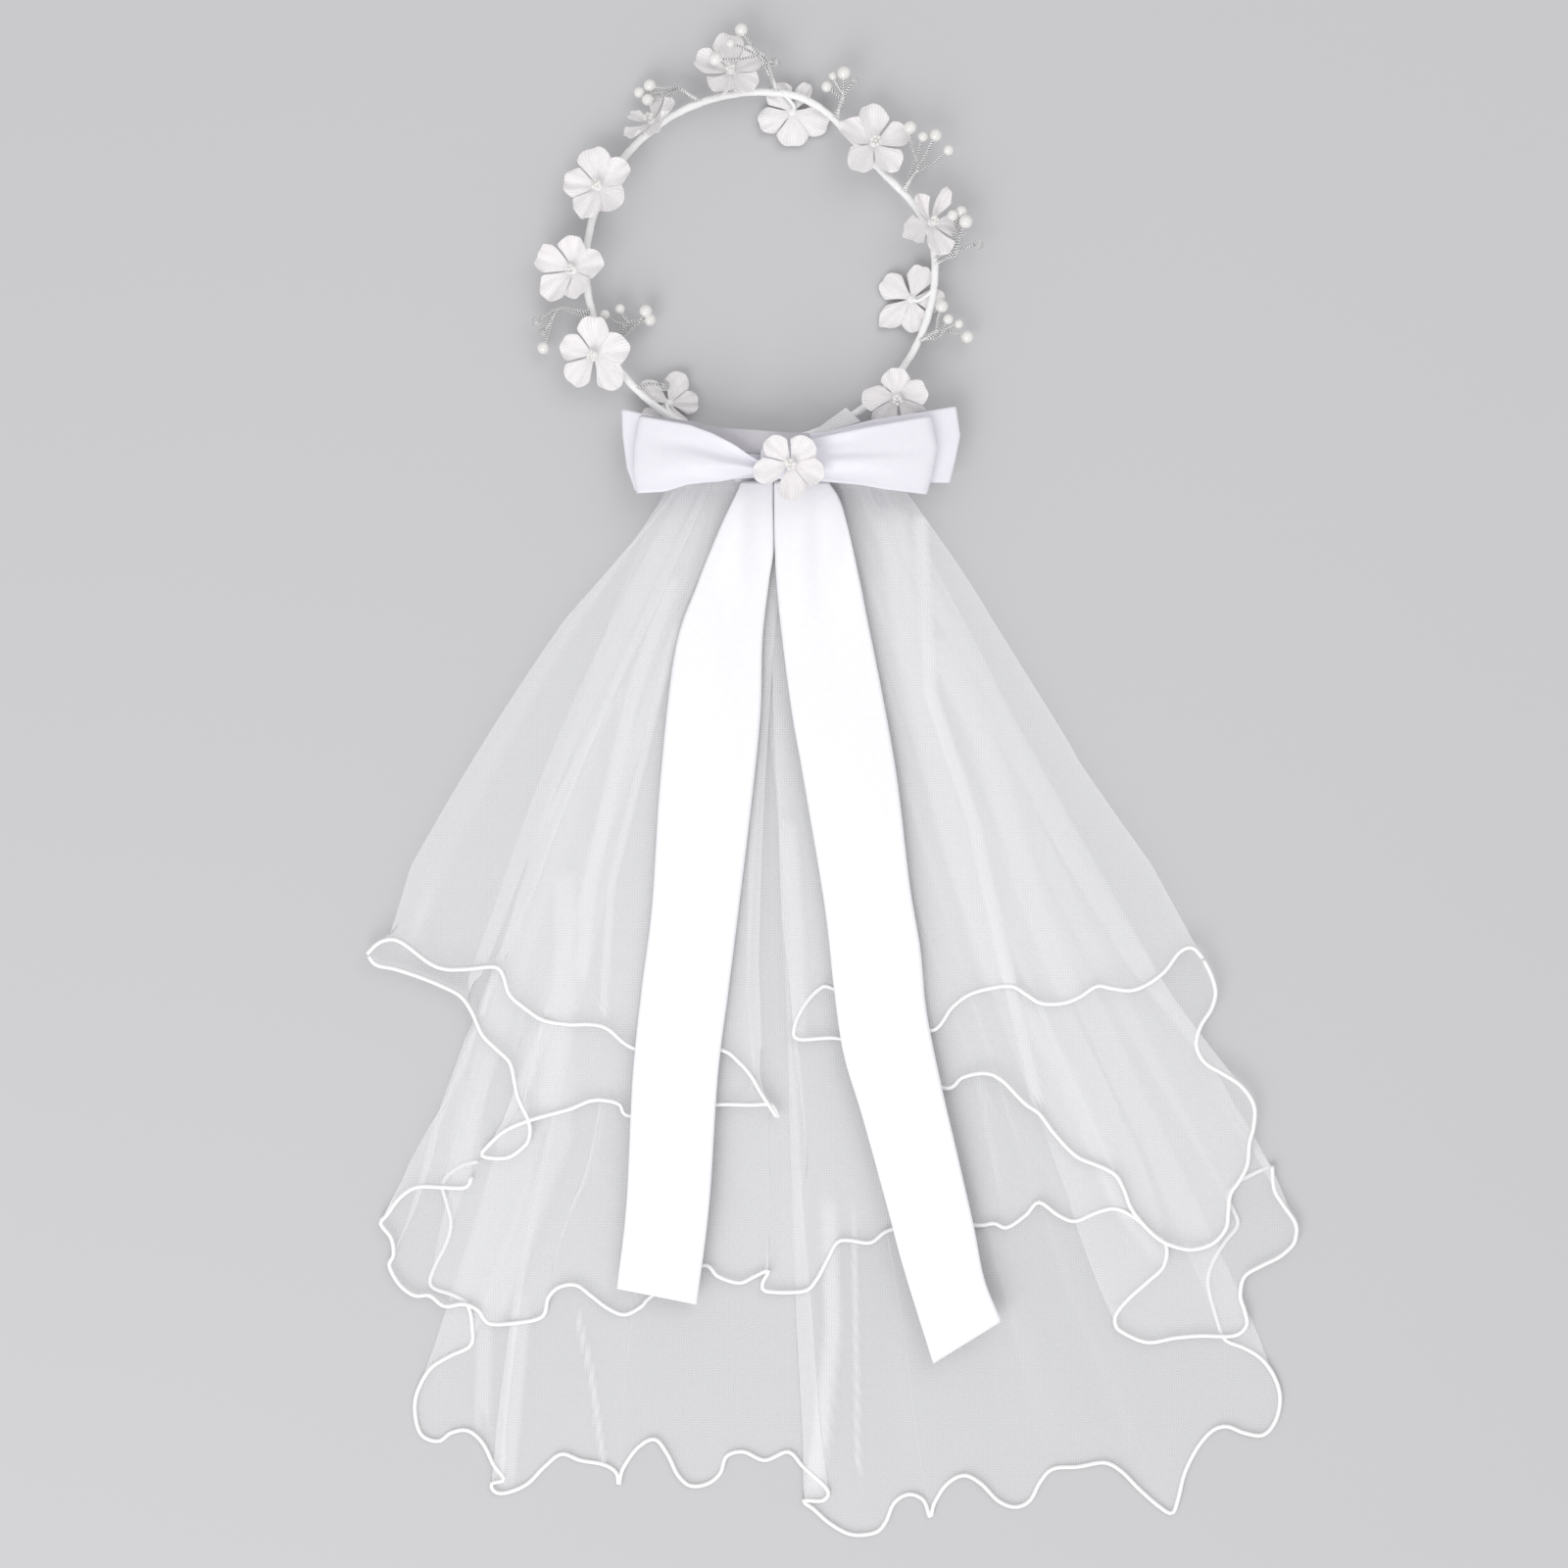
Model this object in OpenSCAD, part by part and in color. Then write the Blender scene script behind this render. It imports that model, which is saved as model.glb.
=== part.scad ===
/* [Ring] */
// Mean radius of the head ring
ring_r = 82; // [78:0.5:86]
// Radius of the bare wire core
wire_r = 0.8; // [0.6:0.1:1.2]
// Outer radius of the taped ring
tape_r = 1.9; // [1.6:0.1:2.2]
// Height of the ring's centre line above the table
ring_z = 9; // [8.5:0.1:10]

/* [Flowers] */
// Radius of one petal disc
petal_r = 7.5; // [6:0.1:8]
// Depth of the cupped petals, from their backs to their rims
petal_t = 3; // [2:0.1:3.2]
// Radius of one stamen bead
bead_r = 1.2; // [0.9:0.1:1.3]

/* [Pearl sprays] */
// Radius of a twisted wire stem
stem_r = 0.45; // [0.35:0.05:0.6]

/* [Bow] */
// Inner radius of the ribbon casing that turns on the ring
casing_r = 3.4; // [3.2:0.1:3.8]
// Half length of the casing along the ring
casing_half = 14; // [10:1:15]
// Thickness of the front loops
front_loop_t = 11; // [8:0.5:13]
// Thickness of the flat back loops
back_loop_t = 1.9; // [1.2:0.1:2.1]

/* [Veil] */
// Thickness of one gathered tulle tier
tier_t = 2; // [1.4:0.1:2]
// Radius of the satin cord sewn to each hem
hem_r = 1; // [0.8:0.1:1]
// Thickness of a satin tail
tail_t = 0.8; // [0.6:0.1:1]

/* [Hidden] */
$fn = 48;
casing_y = 0.7 - ring_r;
casing_wall = 1.2;
heading_y = -105;
heading_depth = 12;
heading_x = [-42, 62];
heading_t = 2.2;
gather_y = heading_y + heading_depth;
top_z = 4.4;
middle_z = heading_t;
tongue_t = 1.4;
tail_y = -106;
left_tail_z = 8.6;
right_tail_z = 9.8;
back_loop_z = ring_z + casing_r + casing_wall + 0.2;
front_loop_z = back_loop_z + back_loop_t + 0.2;
knot_x = [-7.8, 17.8];
knot_top = front_loop_z + front_loop_t;
bow_flower = [14, -94, knot_top + 1.2];

// The ring is flattened on its upper right, between these two angles.
flat_angles = [4, 82];
flat_depth = 10;

// Each flower: centre, direction it leans, lean angle, scale.
FLOWERS = [
    [[-14, 91, 13], 98, 25, 0.95],
    [[15, 73, 6.0], 95, 178, 0.85],
    [[53, 57, 13.5], 45, 25, 1],
    [[80, 20, 13], 14, 25, 1],
    [[71, -15, 6.0], 350, 178, 0.85],
    [[64, -62, 13], 270, 25, 0.95],
    [[-43, -64, 6.0], 120, 178, 0.85],
    [[-79, -42, 13], 208, 25, 1],
    [[-89, -2, 13], 181, 25, 0.95],
    [[-77, 37, 13], 154, 25, 1],
    [[-51, 67, 15], 127, 50, 0.85]
];

// Each spray: angle of its foot on the ring, fork, then pearls as [x, y, z, radius].
SPRAYS = [
    [84, [2, 95, 21],
        [[-9, 110, 15, 3.2], [-21, 97, 19, 3], [7, 96, 13, 2.6], [-14, 104, 19, 2.3]]],
    [110, [-38, 86, 13],
        [[-52, 88, 8, 3], [-56, 81, 5, 2.6], [-45, 92, 9, 2.6]]],
    [63, [38, 78, 13],
        [[39, 90, 14, 3], [31, 84, 12, 2.6], [34, 95, 11, 2.4], [46, 86, 14, 2.8]]],
    [27, [73, 45, 14],
        [[72, 66, 17, 3], [78, 61, 15, 2.8], [84, 62, 12, 2.6], [88, 53, 14, 3]]],
    [2, [91, 5, 13],
        [[99, 20, 17, 3], [99, 27, 15, 2.6], [97, 13, 17, 2.4], [103, 9, 11, 2.8]]],
    [334, [82, -32, 12],
        [[86, -19, 12, 3], [89, -26, 11, 2.6], [95, -28, 10, 2.6], [97, -35, 9, 3]]],
    [196, [-95, -22, 13],
        [[-106, -25, 11, 2.8], [-104, -32, 9, 2.6], [-103, -39, 8, 2.8]]],
    [209, [-61, -29, 11],
        [[-67, -20, 10, 2.6], [-60, -19, 9, 2.4], [-54, -21, 9, 2.8], [-51, -28, 8, 2.6]]],
    [224, [-54, -54, 11],
        [[-45, -56, 10.5, 2.6]]]
];

BOW_LEFT_FRONT = [[-8, -86], [-22, -80], [-55, -72], [-58, -90], [-56, -107], [-33, -103.5], [-8, -99]];
BOW_RIGHT_FRONT = [[18, -84.5], [35, -80], [78, -72], [81, -88], [76, -108], [45, -103.5], [18, -100.5]];
BOW_LEFT_BACK = [[-8, -82], [-40, -74], [-64, -67], [-63, -85], [-57, -105], [-30, -101], [-8, -98]];
BOW_RIGHT_BACK = [[18, -82], [50, -73], [90, -66.5], [92, -80], [87, -102], [50, -101], [18, -99]];

LEFT_TAIL = [[-11, -106], [-20, -125], [-30, -150], [-40, -180], [-47, -240], [-56, -340], [-63, -440],
    [-67.5, -480], [-30, -487.5], [-24, -440], [-10, -300], [1, -200], [3, -150], [7, -133], [5, -106]];
RIGHT_TAIL = [[6, -106], [8.5, -133], [8, -160], [20, -240], [34.5, -340], [48, -400], [67, -470],
    [81, -515], [108, -505], [113, -495], [100, -450], [78, -350], [64, -240], [50, -165], [40, -118],
    [34, -106]];

// Hem routes, each from the tier's left edge round to its right edge.
TOP_HEM = [[-185, -322], [-166, -332], [-141, -343], [-130, -362], [-118, -376], [-117, -395], [-131, -418],
    [-111, -414], [-104, -399], [-92, -396], [-72, -392], [-62, -399], [-21, -394], [8, -400], [27, -378],
    [39, -364], [86, -386], [106, -379], [124, -393], [144, -414], [167, -427], [174, -442], [186, -456],
    [203, -462], [219, -452], [221, -436], [230, -412], [232, -394], [209, -374], [207, -357], [214, -341],
    [208, -325]];
MIDDLE_HEM = [[-179, -450], [-175, -470], [-156, -484], [-128, -497], [-101, -491], [-90, -479], [-68, -492],
    [-51, -484], [-20, -475], [4, -482], [20, -482], [36, -459], [61, -453], [102, -451], [131, -440],
    [148, -449], [167, -443], [184, -454], [190, -470], [168, -492], [170, -501], [195, -504], [223, -503],
    [228, -491], [228, -475], [252, -460]];
BOTTOM_HEM = [[-163, -485], [-171, -545], [-150, -555], [-126, -564], [-121, -575], [-94, -560], [-68, -572],
    [-50, -552], [-33, -574], [-8, -558], [13, -558], [28, -572], [26, -584], [50, -597], [68, -579],
    [94, -569], [120, -584], [140, -566], [162, -563], [190, -586], [213, -548], [243, -543], [238, -516],
    [219, -505]];

// Radius of the ring at an angle: round, with one gentle flat.
function ring_at(a) =
    let (span = flat_angles[1] - flat_angles[0], u = (a - flat_angles[0]) / span)
    ring_r - (u > 0 && u < 1 ? flat_depth * pow(sin(180 * u), 2) : 0);

function ring_point(a) = [ring_at(a) * cos(a), ring_at(a) * sin(a), ring_z];

// A closed ring of tube round the ring's centre line.
module ring_tube(r, sides, rings) {
    points = [for (i = [0:rings - 1], j = [0:sides - 1])
        let (a = 360 * i / rings, b = 360 * j / sides)
        ring_point(a) + [r * cos(b) * cos(a), r * cos(b) * sin(a), r * sin(b)]];
    faces = [for (i = [0:rings - 1], j = [0:sides - 1])
        let (n = (i + 1) % rings, k = (j + 1) % sides)
        [i * sides + j, i * sides + k, n * sides + k, n * sides + j]];
    polyhedron(points, faces);
}

// A straight eight-sided rod between two points.
module rod(from, to, r) {
    d = to - from;
    length = norm(d);
    translate(from)
        rotate([0, acos(d.z / length), atan2(d.y, d.x)])
            cylinder(h = length, r = r, $fn = 8);
}

// A rod that starts just inside the tape's surface and ends at a point.
module rod_from_ring(a, to, r) {
    centre = ring_point(a);
    d = (to - centre) / norm(to - centre);
    rod(centre + d * (tape_r - 0.4), to, r);
}

// Places a flower: the blossom leans by `lean` towards direction `way`.
module at_flower(f) {
    translate(f[0])
        rotate([0, 0, f[1]])
            rotate([0, f[2], 0])
                scale(f[3])
                    children();
}

// Five round petals on a small round calyx.
module petals() {
    translate([0, 0, -1])
        cylinder(h = 2, r = 3.5);
    linear_extrude(petal_t) {
        circle(r = 4.5);
        for (i = [0:4])
            rotate(72 * i)
                translate([petal_r + 1.5, 0])
                    circle(r = petal_r);
    }
}

// Short wire post with a cluster of beads.
module stamens() {
    translate([0, 0, petal_t])
        cylinder(h = 2, r = 1.4);
    for (i = [0:5])
        rotate([0, 0, 60 * i])
            translate([2.1, 0, petal_t + 1.8])
                sphere(r = bead_r, $fn = 24);
    translate([0, 0, petal_t + 2.4])
        sphere(r = bead_r, $fn = 24);
}

module flower_petals(i) {
    color("#e8e4e5")
        at_flower(FLOWERS[i])
            petals();
}

module flower_stamens(i) {
    color("#eeece6")
        at_flower(FLOWERS[i])
            stamens();
}

// One bound wire from the back of each flower to the ring.
module flower_stems() {
    color("#f4f4f2")
        for (f = FLOWERS) {
            a = atan2(f[0].y, f[0].x);
            back = f[3] * [-sin(f[2]) * cos(f[1]), -sin(f[2]) * sin(f[1]), -cos(f[2])];
            rod_from_ring(a < 0 ? a + 360 : a, f[0] + back * 0.6, 0.9);
        }
}

module spray_stems(i) {
    s = SPRAYS[i];
    color("silver") {
        rod_from_ring(s[0], s[1], stem_r * 1.3);
        for (p = s[2])
            rod(s[1], [p[0], p[1], p[2]], stem_r);
    }
}

module spray_pearls(i) {
    color("#eeede6")
        for (p = SPRAYS[i][2])
            translate([p[0], p[1], p[2]])
                sphere(r = p[3], $fn = 32);
}

module ring_wire() { color("silver") ring_tube(wire_r, 8, 60); }

module ring_tape() {
    color("#f8f8f8")
        difference() {
            ring_tube(tape_r, 12, 60);
            ring_tube(wire_r, 8, 60);
        }
}

// Ribbon casing round the ring, with the tongue that the veil heading is sewn to.
module ring_casing() {
    outer = casing_r + casing_wall;
    color("#f7f7f8")
        difference() {
            union() {
                translate([-casing_half, casing_y, ring_z])
                    rotate([0, 90, 0])
                        cylinder(h = 2 * casing_half, r = outer);
                translate([-casing_half, heading_y + 2, top_z + tier_t])
                    cube([2 * casing_half, casing_y - heading_y - 4, tongue_t]);
                translate([0, casing_y - 3, ring_z + outer - 0.8])
                    cube([12, 6, 1]);
            }
            translate([-casing_half - 1, casing_y, ring_z])
                rotate([0, 90, 0])
                    cylinder(h = 2 * casing_half + 2, r = casing_r);
        }
}

module loop(outline, z, t) {
    color("#fdfdfd")
        translate([0, 0, z])
            linear_extrude(t)
                polygon(outline);
}

module bow_knot() {
    color("#f0efee")
        translate([knot_x[0], -103, back_loop_z])
            cube([knot_x[1] - knot_x[0], 24, knot_top - back_loop_z]);
}

module tail(outline, z) {
    color("#fefefe")
        translate([0, 0, z])
            linear_extrude(tail_t)
                polygon(outline);
}

module veil_heading() {
    color("#f7f7f8")
        translate([heading_x[0], heading_y, 0])
            cube([heading_x[1] - heading_x[0], heading_depth, heading_t]);
}

// A gathered tulle tier: its outline runs from the heading down both sides to the hem.
module tier(z, start_y, left, hem, right) {
    color([0.93, 0.93, 0.94, 0.45])
        translate([0, 0, z])
            linear_extrude(tier_t)
                polygon(concat([[heading_x[0] + 2, start_y]], left, hem, right, [[heading_x[1] - 2, start_y]]));
}

// A round cord along a hem route at one height, with flat ends.
module hem(route, z, sides = 8) {
    last = len(route) - 1;
    points = [for (i = [0:last], j = [0:sides - 1])
        let (d = route[min(i + 1, last)] - route[max(i - 1, 0)],
            across = [-d.y, d.x] / norm(d),
            b = 360 * j / sides)
        [route[i].x + hem_r * cos(b) * across.x, route[i].y + hem_r * cos(b) * across.y,
            z + hem_r * sin(b)]];
    walls = [for (i = [0:last - 1], j = [0:sides - 1])
        let (k = (j + 1) % sides)
        [i * sides + j, (i + 1) * sides + j, (i + 1) * sides + k, i * sides + k]];
    ends = [[for (j = [0:sides - 1]) j], [for (j = [sides - 1:-1:0]) last * sides + j]];
    color("#f9f9fa")
        polyhedron(points, concat(walls, ends));
}

module veil_top_tier() {
    tier(top_z, gather_y, [[-63, -135], [-100, -180], [-145, -260]], TOP_HEM,
        [[178, -294], [134, -235], [98, -170], [70, -120]]);
}

module veil_middle_tier() {
    tier(middle_z, gather_y, [[-60, -135], [-83, -225], [-120, -290], [-142, -340]], MIDDLE_HEM,
        [[242, -430], [178, -300], [112, -200], [70, -120]]);
}

module veil_bottom_tier() {
    tier(0, heading_y, [[-60, -150], [-95, -260], [-140, -400]], BOTTOM_HEM,
        [[205, -400], [150, -270], [70, -125]]);
}

ring_wire();
ring_tape();
flower_stems();
for (i = [0:10]) {
    number = str(i < 9 ? "0" : "", i + 1);
    flower_petals(i);
    flower_stamens(i);
}
for (i = [0:8]) {
    spray_stems(i);
    spray_pearls(i);
}
ring_casing();
loop(BOW_LEFT_FRONT, front_loop_z, front_loop_t);  // bow_left_front_loop
loop(BOW_RIGHT_FRONT, front_loop_z, front_loop_t);  // bow_right_front_loop
loop(BOW_LEFT_BACK, back_loop_z, back_loop_t);  // bow_left_back_loop
loop(BOW_RIGHT_BACK, back_loop_z, back_loop_t);  // bow_right_back_loop
bow_knot();
color("#e8e4e5") at_flower([bow_flower, 0, 0, 0.95]) petals();  // bow_flower_petals
color("#eeece6") at_flower([bow_flower, 0, 0, 0.95]) stamens();  // bow_flower_stamens
tail(LEFT_TAIL, left_tail_z);  // left_tail
tail(RIGHT_TAIL, right_tail_z);  // right_tail
veil_heading();
veil_top_tier();
veil_middle_tier();
veil_bottom_tier();
hem(TOP_HEM, top_z + hem_r);  // veil_top_hem
hem(MIDDLE_HEM, middle_z + hem_r);  // veil_middle_hem
hem(BOTTOM_HEM, hem_r);  // veil_bottom_hem
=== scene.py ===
import math
import random

import bpy
import numpy as np
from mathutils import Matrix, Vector


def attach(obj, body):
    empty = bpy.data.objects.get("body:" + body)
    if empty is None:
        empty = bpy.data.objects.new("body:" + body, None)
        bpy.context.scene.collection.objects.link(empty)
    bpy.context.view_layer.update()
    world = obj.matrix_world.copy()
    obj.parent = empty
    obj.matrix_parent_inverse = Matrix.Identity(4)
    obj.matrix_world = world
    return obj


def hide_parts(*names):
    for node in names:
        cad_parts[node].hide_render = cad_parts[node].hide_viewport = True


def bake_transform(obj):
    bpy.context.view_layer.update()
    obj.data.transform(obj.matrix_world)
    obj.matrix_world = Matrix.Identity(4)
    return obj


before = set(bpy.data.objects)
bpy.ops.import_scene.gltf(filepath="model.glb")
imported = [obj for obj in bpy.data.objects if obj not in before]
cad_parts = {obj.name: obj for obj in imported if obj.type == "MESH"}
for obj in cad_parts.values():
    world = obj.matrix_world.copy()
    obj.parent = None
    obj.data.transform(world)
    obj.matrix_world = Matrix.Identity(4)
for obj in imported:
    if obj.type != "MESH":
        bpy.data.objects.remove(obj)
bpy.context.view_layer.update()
print("frame loaded")

mm = 0.001
scene = bpy.context.scene


def toLinear(hexColour):
    parts = [int(hexColour[i:i + 2], 16) / 255 for i in (1, 3, 5)]
    return [c / 12.92 if c <= 0.04045 else ((c + 0.055) / 1.055) ** 2.4 for c in parts] + [1.0]


def addNode(tree, kind, links=None, **settings):
    # one node; links maps an input's name or number to another node's output or to a value
    node = tree.nodes.new(kind)
    for key, value in settings.items():
        setattr(node, key, value)
    for key, source in (links or {}).items():
        if isinstance(source, bpy.types.NodeSocket):
            tree.links.new(source, node.inputs[key])
        else:
            node.inputs[key].default_value = source
    return node


def newMaterial(name, **values):
    # a Principled material with its constants set on the shader's own sockets
    material = bpy.data.materials.new(name)
    material.use_nodes = True
    shader = material.node_tree.nodes["Principled BSDF"]
    for key, value in values.items():
        shader.inputs[key.replace("_", " ")].default_value = value
    return material, material.node_tree, shader


def newPiece(name, points, faces, material, uvs=None, smooth=True):
    # a mesh piece from points in millimetres; its place is in the mesh
    mesh = bpy.data.meshes.new(name)
    places = [tuple(float(c) * mm for c in p) for p in points]
    mesh.from_pydata(places, [], [tuple(map(int, f)) for f in faces])
    if uvs is not None:
        layer = mesh.uv_layers.new(name="UVMap")
        corner = np.empty(len(mesh.loops), dtype=np.int32)
        mesh.loops.foreach_get("vertex_index", corner)
        layer.data.foreach_set("uv", np.asarray(uvs, dtype=np.float32)[corner].ravel())
    mesh.polygons.foreach_set("use_smooth", [smooth] * len(mesh.polygons))
    mesh.materials.append(material)
    mesh.update()
    piece = bpy.data.objects.new(name, mesh)
    scene.collection.objects.link(piece)
    return piece


def gridFaces(rows, columns, closed=False):
    # quads of a grid whose points are listed row by row
    faces = []
    for i in range(rows - 1):
        for j in range(columns if closed else columns - 1):
            k = (j + 1) % columns
            faces.append((i * columns + j, i * columns + k, (i + 1) * columns + k, (i + 1) * columns + j))
    return faces


def smoothPath(points, count):
    # evenly spaced points on a smooth curve through the given ones
    p = np.array(points, float)
    p = np.vstack([2 * p[0] - p[1], p, 2 * p[-1] - p[-2]])
    out = []
    for i in range(1, len(p) - 2):
        for t in np.linspace(0, 1, 12, endpoint=False):
            a, b, c, d = p[i - 1:i + 3]
            out.append(0.5 * (2 * b + (c - a) * t + (2 * a - 5 * b + 4 * c - d) * t ** 2
                              + (3 * b - a - 3 * c + d) * t ** 3))
    out.append(p[-2])
    out = np.array(out)
    steps = np.concatenate([[0], np.cumsum(np.linalg.norm(np.diff(out, axis=0), axis=1))])
    at = np.linspace(0, steps[-1], count)
    return np.stack([np.interp(at, steps, out[:, k]) for k in range(out.shape[1])], axis=1)


def pathLength(path):
    return float(np.linalg.norm(np.diff(path, axis=0), axis=1).sum())


def tubeMesh(path, radius, sides=8, closed=False):
    # points and faces of a round tube along a path; radius may be one value for each point
    path = np.array(path, float)
    n = len(path)
    ahead = np.roll(path, -1, 0) - np.roll(path, 1, 0)
    if not closed:
        ahead[0], ahead[-1] = path[1] - path[0], path[-1] - path[-2]
    ahead /= np.linalg.norm(ahead, axis=1)[:, None] + 1e-12
    side = np.cross(ahead, [0, 0, 1.0])
    weak = np.linalg.norm(side, axis=1) < 0.05
    side[weak] = np.cross(ahead[weak], [0, 1.0, 0])
    side /= np.linalg.norm(side, axis=1)[:, None]
    up = np.cross(side, ahead)
    radii = np.broadcast_to(np.asarray(radius, float), (n,))
    points, uvs = [], []
    run = np.concatenate([[0], np.cumsum(np.linalg.norm(np.diff(path, axis=0), axis=1))])
    for i in range(n):
        for j in range(sides):
            a = 2 * math.pi * j / sides
            points.append(path[i] + radii[i] * (math.cos(a) * side[i] + math.sin(a) * up[i]))
            uvs.append((run[i] * mm, j / sides))
    faces = gridFaces(n, sides, closed=True)
    if closed:
        faces += [((n - 1) * sides + j, (n - 1) * sides + (j + 1) % sides, (j + 1) % sides, j)
                  for j in range(sides)]
    else:
        faces.append(tuple(reversed(range(sides))))
        faces.append(tuple((n - 1) * sides + j for j in range(sides)))
    return points, [tuple(reversed(f)) for f in faces], uvs


def joinTubes(name, tubes, material):
    points, faces, uvs = [], [], []
    for tubePoints, tubeFaces, tubeUvs in tubes:
        start = len(points)
        points += tubePoints
        uvs += tubeUvs
        faces += [tuple(start + k for k in f) for f in tubeFaces]
    return newPiece(name, points, faces, material, uvs)


def bakeModifier(piece):
    # the evaluated result becomes a plain mesh and the modifiers go
    depsgraph = bpy.context.evaluated_depsgraph_get()
    mesh = bpy.data.meshes.new_from_object(piece.evaluated_get(depsgraph))
    piece.modifiers.clear()
    old = piece.data
    piece.data = mesh
    if isinstance(old, bpy.types.Mesh):
        bpy.data.meshes.remove(old)


def addThickness(piece, thick, offset=0):
    solid = piece.modifiers.new("thickness", "SOLIDIFY")
    solid.thickness = thick * mm
    solid.offset = offset


def settle(piece, body, slotName, *nodes):
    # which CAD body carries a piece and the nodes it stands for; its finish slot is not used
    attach(piece, body)
    if nodes:
        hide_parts(*nodes)


# Stiffened organza: starched sheer weave, soft and matt with fine veins pressed in from foot to rim.
petalLook = {"colour": "#f6f3f4", "shade": "#dcd8da", "veins": 22, "veinDepth": 0.6}
petalOrganza, tree, shader = newMaterial("petalOrganza", Roughness=0.62, Sheen_Weight=0.25, IOR=1.46,
                                         Subsurface_Weight=0.08)
shader.inputs["Subsurface Radius"].default_value = (0.002, 0.002, 0.002)
uv = addNode(tree, "ShaderNodeUVMap", uv_map="UVMap")
axes = addNode(tree, "ShaderNodeSeparateXYZ", {0: uv.outputs[0]})
wobble = addNode(tree, "ShaderNodeTexNoise", {"Vector": uv.outputs[0], "Scale": 3.0, "Detail": 2.0})
bend = addNode(tree, "ShaderNodeMath", {0: wobble.outputs[0], 1: 0.12, 2: axes.outputs[0]},
               operation="MULTIPLY_ADD")
across = addNode(tree, "ShaderNodeMath", {0: bend.outputs[0], 1: petalLook["veins"] * math.pi},
                 operation="MULTIPLY")
vein = addNode(tree, "ShaderNodeMath", {0: across.outputs[0]}, operation="SINE")
veinFaded = addNode(tree, "ShaderNodeMapRange", {0: vein.outputs[0], 1: -1.0, 2: 1.0})
depth = addNode(tree, "ShaderNodeTexNoise", {"Vector": uv.outputs[0], "Scale": 5.0})
blendMix = addNode(tree, "ShaderNodeMath", {0: veinFaded.outputs[0], 1: depth.outputs[0]},
                   operation="MULTIPLY")
tint = addNode(tree, "ShaderNodeMix", {0: blendMix.outputs[0], 6: toLinear(petalLook["colour"]),
                                       7: toLinear(petalLook["shade"])}, data_type="RGBA")
tree.links.new(tint.outputs[2], shader.inputs["Base Color"])
bump = addNode(tree, "ShaderNodeBump", {"Height": blendMix.outputs[0], "Strength": petalLook["veinDepth"],
                                        "Distance": 0.0003})
tree.links.new(bump.outputs[0], shader.inputs["Normal"])


def satinMaterial(name, colour, shade, rough):
    # Polyester satin: long floats give a soft sheen along the ribbon over fine cross ribs.
    material, tree, shader = newMaterial(name, Roughness=rough, Sheen_Weight=0.15, Anisotropic=0.4,
                                         IOR=1.5, Coat_Weight=0.08, Coat_Roughness=0.3)
    uv = addNode(tree, "ShaderNodeUVMap", uv_map="UVMap")
    axes = addNode(tree, "ShaderNodeSeparateXYZ", {0: uv.outputs[0]})
    ribSpacing = 0.0007  # real ribs are 0.2 mm apart, drawn coarser so that they show
    turns = addNode(tree, "ShaderNodeMath", {0: axes.outputs[0], 1: 2 * math.pi / ribSpacing},
                    operation="MULTIPLY")
    rib = addNode(tree, "ShaderNodeMath", {0: turns.outputs[0]}, operation="SINE")
    threads = addNode(tree, "ShaderNodeTexNoise", {"Vector": uv.outputs[0], "Scale": 260.0, "Detail": 3.0})
    height = addNode(tree, "ShaderNodeMath", {0: rib.outputs[0], 1: threads.outputs[0]}, operation="ADD")
    tint = addNode(tree, "ShaderNodeMix", {0: threads.outputs[0], 6: toLinear(colour), 7: toLinear(shade)},
                   data_type="RGBA")
    tree.links.new(tint.outputs[2], shader.inputs["Base Color"])
    bump = addNode(tree, "ShaderNodeBump", {"Height": height.outputs[0], "Strength": 0.12,
                                            "Distance": 0.0002})
    tree.links.new(bump.outputs[0], shader.inputs["Normal"])
    return material


satinRibbon = satinMaterial("satinRibbon", "#fbfbfd", "#f5f4fa", 0.38)
# The bow's satin is the same ribbon as the tails', set a little cooler and darker as painted shade.
satinBowPaintedShade = satinMaterial("satinBowPaintedShade", "#efeef4", "#e8e6f0", 0.42)
# Single-face satin has a dull back, without the long floats; its grey colour is painted shade.
satinBackAndPaintedShade = satinMaterial("satinBackAndPaintedShade", "#cccacf", "#c4c2c8", 0.7)
satinCord = satinMaterial("satinCord", "#fcfcfc", "#f6f6f7", 0.42)

# Nylon tulle: a hexagonal knitted net, almost clear where it lies flat and whiter where it creases.
tulleLook = {"colour": "#e6e6e8", "cell": 0.0011, "alpha": 0.38, "threadShare": 0.35}
tulleNet, tree, shader = newMaterial("tulleNet", Roughness=0.7, IOR=1.5)
shader.inputs["Base Color"].default_value = toLinear(tulleLook["colour"])
coords = addNode(tree, "ShaderNodeTexCoord")
cells = addNode(tree, "ShaderNodeTexVoronoi", {"Vector": coords.outputs["Object"],
                                               "Scale": 1 / tulleLook["cell"], "Randomness": 0.65},
                feature="DISTANCE_TO_EDGE", voronoi_dimensions="2D")
thread = addNode(tree, "ShaderNodeMapRange", {0: cells.outputs["Distance"], 1: 0.04, 2: 0.2, 3: 1.0, 4: 0.0})
net = addNode(tree, "ShaderNodeMath", {0: thread.outputs[0], 1: tulleLook["threadShare"],
                                       2: 1 - tulleLook["threadShare"] * 0.5}, operation="MULTIPLY_ADD")
fullness = addNode(tree, "ShaderNodeAttribute", attribute_name="netFullness")
cover = addNode(tree, "ShaderNodeMath", {0: fullness.outputs["Fac"], 1: net.outputs[0]},
                operation="MULTIPLY")
alpha = addNode(tree, "ShaderNodeMath", {0: cover.outputs[0], 1: tulleLook["alpha"]}, operation="MULTIPLY",
                use_clamp=True)
tree.links.new(alpha.outputs[0], shader.inputs["Alpha"])

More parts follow.
